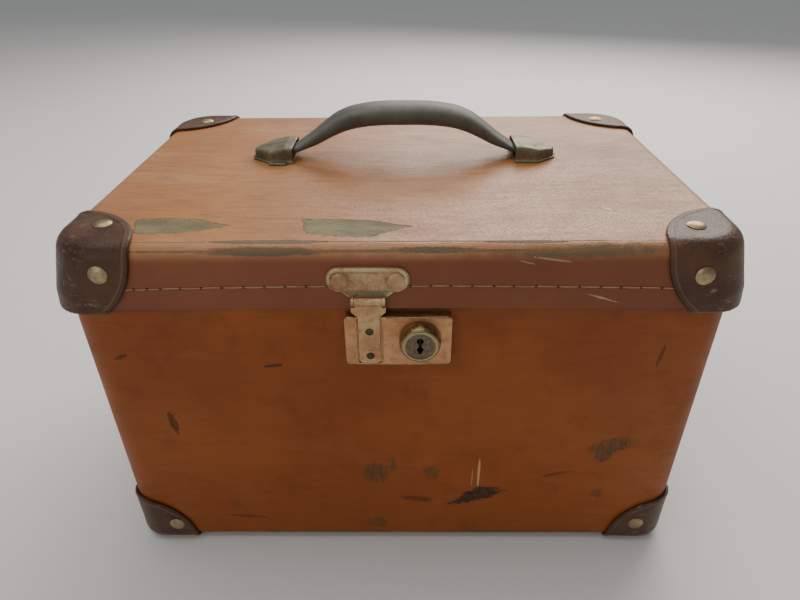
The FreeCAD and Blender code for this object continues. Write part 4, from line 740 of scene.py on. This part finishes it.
# ------------------------------------------------------------ leather corners
def corner(node, body, centre, radius, sx, sy, low):
    me, co, no = from_node(node, 0.0008, 1, 5, 0.5)
    c = np.array(centre) * MM
    d = np.linalg.norm(co - c, axis=1) * 1000.0
    lineh = 0.34 * np.exp(-((d - (radius - 2.6)) / 0.55) ** 2)
    groove = -0.20 * np.exp(-((d - (radius - 3.9)) / 0.50) ** 2)
    wob = np.array([noise.noise(Vector(p) * 95.0) + 0.5 * noise.noise(Vector(p) * 240.0 + Vector((7, 3, 1))) for p in co])
    cen = np.array([sx * 140.0, sy * 90.0, 40.0 if low else 185.0]) * MM
    outward = np.einsum("ij,ij->i", no, co - cen) > 0
    h = np.where(outward, lineh + groove + 0.10 * wob, 0.0)
    co = co + no * (h * MM)[:, None]
    mat = corner_leather(name="leather_" + node, centre=centre, radius=radius, sx=sx, sy=sy, low=low)
    o = finish_mesh(me, co, "leather_" + node, mat, body)
    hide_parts(node)
    return o


for sx, sy, nm in ((-1, -1, "front_left"), (1, -1, "front_right"), (-1, 1, "back_left"), (1, 1, "back_right")):
    corner("lid_corner_" + nm, "lid", (sx * (LID_HX - 1.8), sy * (LID_HY - 1.8), LID_Z1 - 0.5), 43.5, sx, sy, False)
    corner("lower_corner_" + nm, "case", (sx * BODY_HX, sy * BODY_HY, BODY_Z0), 37.5, sx, sy, True)


# -------------------------------------------------------------------- handle
def handle():
    path = [(0, 28.0), (12, 28.0), (22, 27.3), (33, 25.4), (41, 22.5), (49, 17.8), (57, 12.6), (63, 9.6), (68, 7.0), (74, 4.2)]
    semi = [(12.5, 6.8), (12.5, 6.8), (12.4, 6.7), (12.2, 6.5), (11.6, 6.0), (10.8, 5.0), (10.0, 4.1), (9.4, 3.2), (9.0, 2.3), (8.8, 1.6)]
    rows = [(-x, z, a, b) for (x, z), (a, b) in zip(path, semi)][::-1][:-1] + [(x, z, a, b) for (x, z), (a, b) in zip(path, semi)]
    A = np.array(rows, float)
    s = np.concatenate([[0], np.cumsum(np.hypot(np.diff(A[:, 0]), np.diff(A[:, 1])))])
    t = np.linspace(0, s[-1], 181)
    R = np.stack([np.interp(t, s, A[:, i]) for i in range(4)], 1)
    for _ in range(14):
        R[1:-1] = 0.25 * R[:-2] + 0.5 * R[1:-1] + 0.25 * R[2:]
    seg = 56
    vs, fs, ed = [], [], []
    n = len(R)
    for i in range(n):
        x, z, a, b = R[i]
        p0, p1 = R[max(i - 1, 0)], R[min(i + 1, n - 1)]
        tx, tz = p1[0] - p0[0], p1[1] - p0[1]
        L = math.hypot(tx, tz)
        tx, tz = tx / L, tz / L
        nx, nz = -tz, tx
        for k in range(seg):
            q = 2 * math.pi * k / seg
            cy, sz = math.cos(q), math.sin(q)
            e = 2.0 / 2.35
            yy = a * math.copysign(abs(cy) ** e, cy)
            zz = b * math.copysign(abs(sz) ** e, sz)
            # a rolled edge low on each side, where the leather is turned and sewn
            deg = math.degrees(q)
            g = max(math.exp(-((deg - 318.0) / 6.0) ** 2), math.exp(-((deg - 222.0) / 6.0) ** 2))
            dip = max(math.exp(-((deg - 331.0) / 6.0) ** 2), math.exp(-((deg - 209.0) / 6.0) ** 2))
            bump = 0.42 * g - 0.22 * dip
            w = 0.10 * noise.noise(Vector((x * 0.06, yy * 0.12, zz * 0.12 + 5.0)))
            rr = math.hypot(yy, zz) or 1.0
            yy += yy / rr * (bump + w)
            zz += zz / rr * (bump + w)
            vs.append((HX + x + nx * zz, HY + yy, LID_Z1 + z + nz * zz))
            top = max(math.exp(-((deg - 40.0) / 16.0) ** 2), math.exp(-((deg - 140.0) / 16.0) ** 2))
            ed.append(min(1.0, g + 0.45 * top))
    for i in range(n - 1):
        for k in range(seg):
            a0, b0 = i * seg + k, i * seg + (k + 1) % seg
            fs.append((a0, a0 + seg, b0 + seg, b0))
    fs.append(tuple(range(seg)))
    fs.append(tuple((n - 1) * seg + k for k in range(seg))[::-1])
    o = new_mesh("grip_leather", vs, fs, MATS["handle"], "handle", True)
    at = o.data.attributes.new("edge", "FLOAT", "POINT")
    at.data.foreach_set("value", np.array(ed, np.float32))
    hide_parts("handle_grip")
    # sewing along both rolled edges
    B = Build()
    for side in (1, -1):
        deg = 325.0 if side == 1 else 215.0
        q = math.radians(deg)
        i = 12
        while i < n - 14:
            pts = []
            for j in range(i, i + 3):
                x, z, a, b = R[j]
                p0, p1 = R[j - 1], R[j + 1]
                tx, tz = p1[0] - p0[0], p1[1] - p0[1]
                L = math.hypot(tx, tz)
                nx, nz = -tz / L, tx / L
                cy, sz = math.cos(q), math.sin(q)
                e = 2.0 / 2.35
                lift = 0.10 if j == i + 1 else -0.22
                yy = a * math.copysign(abs(cy) ** e, cy)
                zz = b * math.copysign(abs(sz) ** e, sz)
                rr = math.hypot(yy, zz)
                yy += yy / rr * lift
                zz += zz / rr * lift
                pts.append((HX + x + nx * zz, HY + yy, LID_Z1 + z + nz * zz))
            B.tube(pts, [0.20, 0.30, 0.20], 7, up=(0, 1, 0.3))
            i += 3
    st = B.make("grip_stitching", plain_leather("grip_thread", (0.070, 0.062, 0.045), (0.13, 0.115, 0.085)), "handle", True, "handle_leather")
    return o, st


handle()

def soft_hood(node):
    me, co, no = from_node(node, 0.0004, 1, 9, 0.5)
    w = np.array([noise.noise(Vector(p) * 160.0) + 0.6 * noise.noise(Vector(p) * 420.0 + Vector((3, 9, 4))) for p in co])
    co = co + no * (0.09 * MM * w)[:, None]
    o = finish_mesh(me, co, "shaped_" + node, MATS["hood"], "lid")
    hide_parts(node)


soft_hood("handle_hood_left")
soft_hood("handle_hood_right")


def lid_skin():
    """The lid's board as it is now: its front lower edge has bowed upwards and its faces aren't quite flat."""
    bm = bmesh.new()
    bm.from_mesh(NODES["lid_shell"].data)
    bmesh.ops.remove_doubles(bm, verts=bm.verts, dist=1e-6)
    for axis, lim in ((0, 176), (1, 121), (2, 216)):
        v = -lim if axis < 2 else 178
        while v <= lim:
            co, no = [0.0] * 3, [0.0] * 3
            co[axis], no[axis] = v * MM, 1.0
            bmesh.ops.bisect_plane(bm, geom=bm.verts[:] + bm.edges[:] + bm.faces[:], dist=1e-7, plane_co=co, plane_no=no)
            v += 9.0 if axis < 2 else 6.0
    for v in bm.verts:
        x, y, z = (c * 1000.0 for c in v.co)
        f = max(0.0, min(1.0, (-y - 113.5) / 2.0)) * max(0.0, min(1.0, (192.0 - z) / 9.0)) * max(0.0, 1.0 - (x / 152.0) ** 2)
        free = max(0.0, min(1.0, (z - 192.0) / 8.0))
        w = noise.noise(Vector((x, y, z)) * 0.017 + Vector((2.1, 0.4, 7.7)))
        w2 = noise.noise(Vector((x, y, z)) * 0.05 + Vector((5.1, 1.4, 2.7)))
        keep = max(0.0, min(1.0, (150.0 - abs(x)) / 30.0)) * max(0.0, min(1.0, (96.0 - abs(y)) / 24.0))
        dz = 2.3 * f + (0.32 * w + 0.10 * w2) * keep * free
        v.co.z += dz * MM
    me = bpy.data.meshes.new("lid_board")
    bm.normal_update()
    bm.to_mesh(me)
    bm.free()
    for p in me.polygons:
        p.use_smooth = True
    me.set_sharp_from_angle(angle=math.radians(32))
    me.materials.append(MATS["fibre_lid"])
    o = bpy.data.objects.new("lid_board", me)
    bpy.context.scene.collection.objects.link(o)
    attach(o, "lid")
    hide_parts("lid_shell")


lid_skin()

# a small folded foot at the front of the left hood
B = Build()
for (x0, x1, y0, y1, z0, z1, r) in ((-82.5, -71.5, -2.2, 2.6, 215.05, 216.5, 1.0),):
    ring = []
    nseg = 6
    for cx, cy, a0 in ((x1 - r, y1 - r, 0), (x0 + r, y1 - r, 90), (x0 + r, y0 + r, 180), (x1 - r, y0 + r, 270)):
        for k in range(nseg + 1):
            a = math.radians(a0 + 90.0 * k / nseg)
            ring.append((cx + r * math.cos(a), cy + r * math.sin(a)))
    cxm, cym = (x0 + x1) / 2, (y0 + y1) / 2
    levels = [(z0, 0.0), (z1 - 0.45, 0.0), (z1 - 0.12, 0.25), (z1, 0.7)]
    vs, fs = [], []
    m = len(ring)
    for z, ins in levels:
        for px, py in ring:
            dx, dy = px - cxm, py - cym
            L = math.hypot(dx, dy)
            vs.append((px - dx / L * ins, py - dy / L * ins, z))
    for li in range(len(levels) - 1):
        for k in range(m):
            a, b = li * m + k, li * m + (k + 1) % m
            fs.append((a, b, b + m, a + m))
    fs.append(tuple(range(m))[::-1])
    fs.append(tuple((len(levels) - 1) * m + k for k in range(m)))
    B.add(vs, fs)
B.make("hood_foot", MATS["hood"], "lid", True, "hood_metal")

# ---------------------------------------------- stitching round the lid skirt
random.seed(11)


def arch(x):
    """Height of the stitch line along the front."""
    return 194.9 - 1.6 * (abs(x) / 130.0) ** 2


B, H = Build(), Build()


def stitch_row(points, normal):
    """points: places of the needle holes on the surface; normal: outward direction there."""
    nrm = Vector(normal).normalized()
    for i, p in enumerate(points):
        p = Vector(p)
        a = Vector(points[min(i + 1, len(points) - 1)]) - Vector(points[max(i - 1, 0)])
        a.normalize()
        up = nrm.cross(a).normalized()
        # painted shade: each needle hole is a flat dark disc lying on the surface
        H.bead(p + nrm * 0.02, a, up, nrm, 1.0 + random.random() * 0.25, 0.62 + random.random() * 0.12, 0.10, 12, 4)
    for i in range(len(points) - 1):
        p, q = Vector(points[i]), Vector(points[i + 1])
        L = (q - p).length
        if L > 16.0:
            continue
        d = (q - p) / L
        up = nrm.cross(d).normalized()
        pts, rad = [], []
        m = 12
        sag = (random.random() - 0.5) * 0.35
        for k in range(m + 1):
            f = k / m
            lift = 0.16 * math.sin(math.pi * f) ** 0.5 - 0.05
            pts.append(p + d * (0.25 + (L - 0.5) * f) + nrm * lift + up * (sag * math.sin(math.pi * f)))
            rad.append(0.24 + 0.08 * math.sin(math.pi * f))
        B.tube(pts, rad, 8, up=tuple(nrm))


def row_positions(a, b, step, skip=None):
    out, x = [], a
    while x < b:
        out.append(x)
        x += step + (random.random() - 0.5) * 1.1
    return [v for v in out if skip is None or not (skip[0] < v < skip[1])]


nf = (0, -1, DRAFT)
xs = [-136.3, -129.5, -122.9, -116.3] + row_positions(-106.4, 138.0, 10.2, (HASP_X - 20.6, HASP_X + 20.6))
front = [(x, -lid_y(arch(x)) - 0.03, arch(x)) for x in xs]
left = [p for p in front if p[0] < HASP_X]
right = [p for p in front if p[0] > HASP_X]
left.append((HASP_X - 19.6, -lid_y(195.0) - 0.03, 195.0))
right.insert(0, (HASP_X + 19.6, -lid_y(195.0) - 0.03, 195.0))
stitch_row(left, nf)
stitch_row(right, nf)
bk = row_positions(-134.0, 134.0, 10.2)
for a, b in ((-134.0, -116.0), (-74.5, 74.5), (116.0, 134.0)):
    stitch_row([(x, lid_y(194.6) + 0.03, 194.6) for x in bk if a <= x <= b], (0, 1, DRAFT))
for sx in (-1, 1):
    ys = row_positions(-80.0, 80.0, 10.2)
    stitch_row([(sx * (lid_x(194.4) + 0.03), y, 194.4) for y in ys], (sx, 0, DRAFT))
B.make("skirt_thread", MATS["thread"], "lid", True, "fibre")
H.make("skirt_needle_holes", MATS["hole"], "lid", True, "fibre")

# ------------------------------------------------- raised work on the bracket
al = math.atan(DRAFT)
BO = Vector((HASP_X, -lid_y(192.7), 192.7))
ROT = Matrix.Rotation(-al, 3, "X")


def bl(x, y, z):
    """Bracket coordinates to the row frame."""
    return BO + ROT @ Vector((x, y, z))


AXX, AXY, AXZ = ROT @ Vector((1, 0, 0)), ROT @ Vector((0, -1, 0)), ROT @ Vector((0, 0, 1))


def stad_point(t, ins):
    """Point along the upper outline of the bracket's plate, t from 0 at its left middle to 1 at its right middle."""
    r = 6.0
    x0, x1, z0, z1 = -20.2 + ins, 20.2 - ins, 0.0 + ins, 12.6 - ins
    rr = r - ins
    arc = math.pi / 2 * rr
    straight = (x1 - x0) - 2 * rr
    side = (z1 - rr) - 4.0
    tot = 2 * side + 2 * arc + straight
    s = t * tot
    if s < side:
        return x0, 4.0 + s, (-1, 0)
    s -= side
    if s < arc:
        a = math.pi - s / rr
        return x0 + rr + rr * math.cos(a), z1 - rr + rr * math.sin(a), (math.cos(a), math.sin(a))
    s -= arc
    if s < straight:
        return x0 + rr + s, z1, (0, 1)
    s -= straight
    if s < arc:
        a = math.pi / 2 - s / rr
        return x1 - rr + rr * math.cos(a), z1 - rr + rr * math.sin(a), (math.cos(a), math.sin(a))
    s -= arc
    return x1, z1 - rr - s, (1, 0)


B = Build()
K = Build()
# raised band, then the knurls across it
K.tube([bl(*(lambda q: (q[0], -1.6, q[1]))(stad_point(i / 90.0, 1.35))) for i in range(91)], 0.95, 8, squash=0.42, up=tuple(AXY))
for i in range(64):
    x, z, nrm = stad_point((i + 0.5) / 64.0, 1.35)
    across = AXX * nrm[0] + AXZ * nrm[1]
    along = AXX * (-nrm[1]) + AXZ * nrm[0]
    K.bead(bl(x, -1.92, z), across, along, AXY, 1.05, 0.36, 0.24, 8, 5)
# inner bead line under the band
B.tube([bl(*(lambda q: (q[0], -1.58, q[1]))(stad_point(i / 90.0, 3.0))) for i in range(9, 82)], 0.32, 7, up=tuple(AXY))
for dx in (-14.0, 14.0):
    ring = []
    for k in range(40):
        a = 2 * math.pi * k / 40
        ring.append(bl(dx + 5.15 * math.cos(a), -1.58, 5.4 + 5.15 * math.sin(a)))
    B.tube(ring, 0.42, 7, closed=True, up=tuple(AXY))
for sx in (-1, 1):
    B.tube([bl(sx * 13.2, -1.5, 0.9), bl(sx * 11.6, -1.6, -0.7), bl(sx * 9.6, -1.6, -2.2), bl(sx * 8.35, -1.6, -3.2)], [0.35, 0.5, 0.5, 0.4], 8, up=tuple(AXY))
K.make("bracket_knurling", MATS["knurl"], "lid", True, "hasp_brass")
B.make("bracket_relief", MATS["hasp"], "lid", True, "hasp_brass")

B = Build()
# painted shade: a thin dark plate stands for the shaded trough above the roll
vs, fs = [], []
w0, w1 = 11.4, 8.7
grid = [(-w0, 0.55), (w0, 0.55), (w1, -2.55), (-w1, -2.55)]
front_y, back_y = -1.66, -1.3
vs = [bl(x, front_y, z) for x, z in grid] + [bl(x, back_y, z) for x, z in grid]
fs = [(0, 3, 2, 1), (4, 5, 6, 7), (0, 1, 5, 4), (1, 2, 6, 5), (2, 3, 7, 6), (3, 0, 4, 7)]
B.add(vs, fs)
B.make("bracket_trough_shade", MATS["dark"], "lid", False, "hasp_brass")

# ---------------------------------------------------- rolled lips of the lock
B = Build()
F = -LOCK_FRONT
B.tube([(HASP_X + 8.6, F + 0.15, 178.25), (0, F + 0.15, 178.3), (14, F + 0.15, 178.3), (26.4, F + 0.15, 178.2)], [0.35, 0.55, 0.55, 0.45], 8, up=(0, 0, 1))
B.tube([(-26.6, F + 0.15, 177.9), (-21.6, F + 0.15, 178.2)], [0.40, 0.5], 8, up=(0, 0, 1))
for x in (HASP_X - 6.6, HASP_X + 6.6):
    zs = [150.6 + (177.6 - 150.6) * k / 10 for k in range(11)]
    B.tube([(x, F + 0.08, z) for z in zs], [0.30] + [0.46] * 9 + [0.30], 8, up=(0, -1, 0))
B.tube([(-26.2, F + 0.22, 149.9), (-10, F + 0.22, 149.75), (8, F + 0.22, 149.75), (26.2, F + 0.22, 149.9)], [0.35, 0.5, 0.5, 0.35], 8, up=(0, 0, 1))
B.make("lock_plate_lips", MATS["hasp"], "case", True, "lock_brass")


# -------------------------------------------------------------- floor, lights
def floor():
    M = Mat("floor")
    base = M.mix(M.noise(3.0, 3.0, 0.5), (0.74, 0.735, 0.72), (0.78, 0.775, 0.76))
    m = M.done(base, 0.7, 0.0, M.bump(M.noise(220.0, 3.0, 0.5), 0.05, 0.0004), spec=0.3)
    me = bpy.data.meshes.new("floor")
    s = 6.0
    me.from_pydata([(-s, -s, 0), (s, -s, 0), (s, s, 0), (-s, s, 0)], [], [(0, 1, 2, 3)])
    o = bpy.data.objects.new("floor", me)
    bpy.context.scene.collection.objects.link(o)
    me.materials.append(m)


floor()


def area(name, loc, target, size, power, colour=(1, 1, 1)):
    L = bpy.data.lights.new(name, "AREA")
    L.shape = "RECTANGLE"
    L.size, L.size_y = size
    L.energy = power
    L.color = colour
    o = bpy.data.objects.new(name, L)
    bpy.context.scene.collection.objects.link(o)
    o.location = loc
    d = Vector(target) - Vector(loc)
    o.rotation_euler = d.to_track_quat("-Z", "Y").to_euler()
    return o


area("key_back", (0.50, 1.25, 1.10), (0.0, 0.0, 0.15), (1.5, 0.9), 30.0, (1.0, 0.945, 0.87))
area("top", (-0.3, 0.1, 1.5), (0.0, 0.0, 0.1), (1.2, 1.2), 9.0, (1.0, 0.98, 0.95))
area("fill_front", (-0.7, -1.5, 0.9), (0.0, 0.0, 0.12), (1.4, 1.0), 5.2, (1.0, 0.95, 0.87))
world = bpy.data.worlds.new("studio")
bpy.context.scene.world = world
world.use_nodes = True
world.node_tree.nodes["Background"].inputs[0].default_value = (0.9, 0.92, 0.95, 1.0)
world.node_tree.nodes["Background"].inputs[1].default_value = 0.32

# --------------------------------------------------------------------- camera
cam = bpy.data.cameras.new("camera")
cam.sensor_width = 36.0
cam.lens = 603.157 * 36.0 / 800.0
cam.clip_start = 0.01
cam.clip_end = 50.0
co = bpy.data.objects.new("camera", cam)
bpy.context.scene.collection.objects.link(co)
yaw, pitch, roll = (math.radians(a) for a in (0.74878, 31.95444, 0.56182))
right = Vector((math.cos(yaw), math.sin(yaw), 0))
fh = Vector((-math.sin(yaw), math.cos(yaw), 0))
fwd = math.cos(pitch) * fh - math.sin(pitch) * Vector((0, 0, 1))
upv = math.sin(pitch) * fh + math.cos(pitch) * Vector((0, 0, 1))
X = math.cos(roll) * right - math.sin(roll) * upv
Y = math.sin(roll) * right + math.cos(roll) * upv
Z = -fwd
co.matrix_world = Matrix(((X.x, Y.x, Z.x, 0.0042895), (X.y, Y.y, Z.y, -0.3702249), (X.z, Y.z, Z.z, 0.3443841), (0, 0, 0, 1)))
bpy.context.scene.camera = co

bpy.context.view_layer.update()
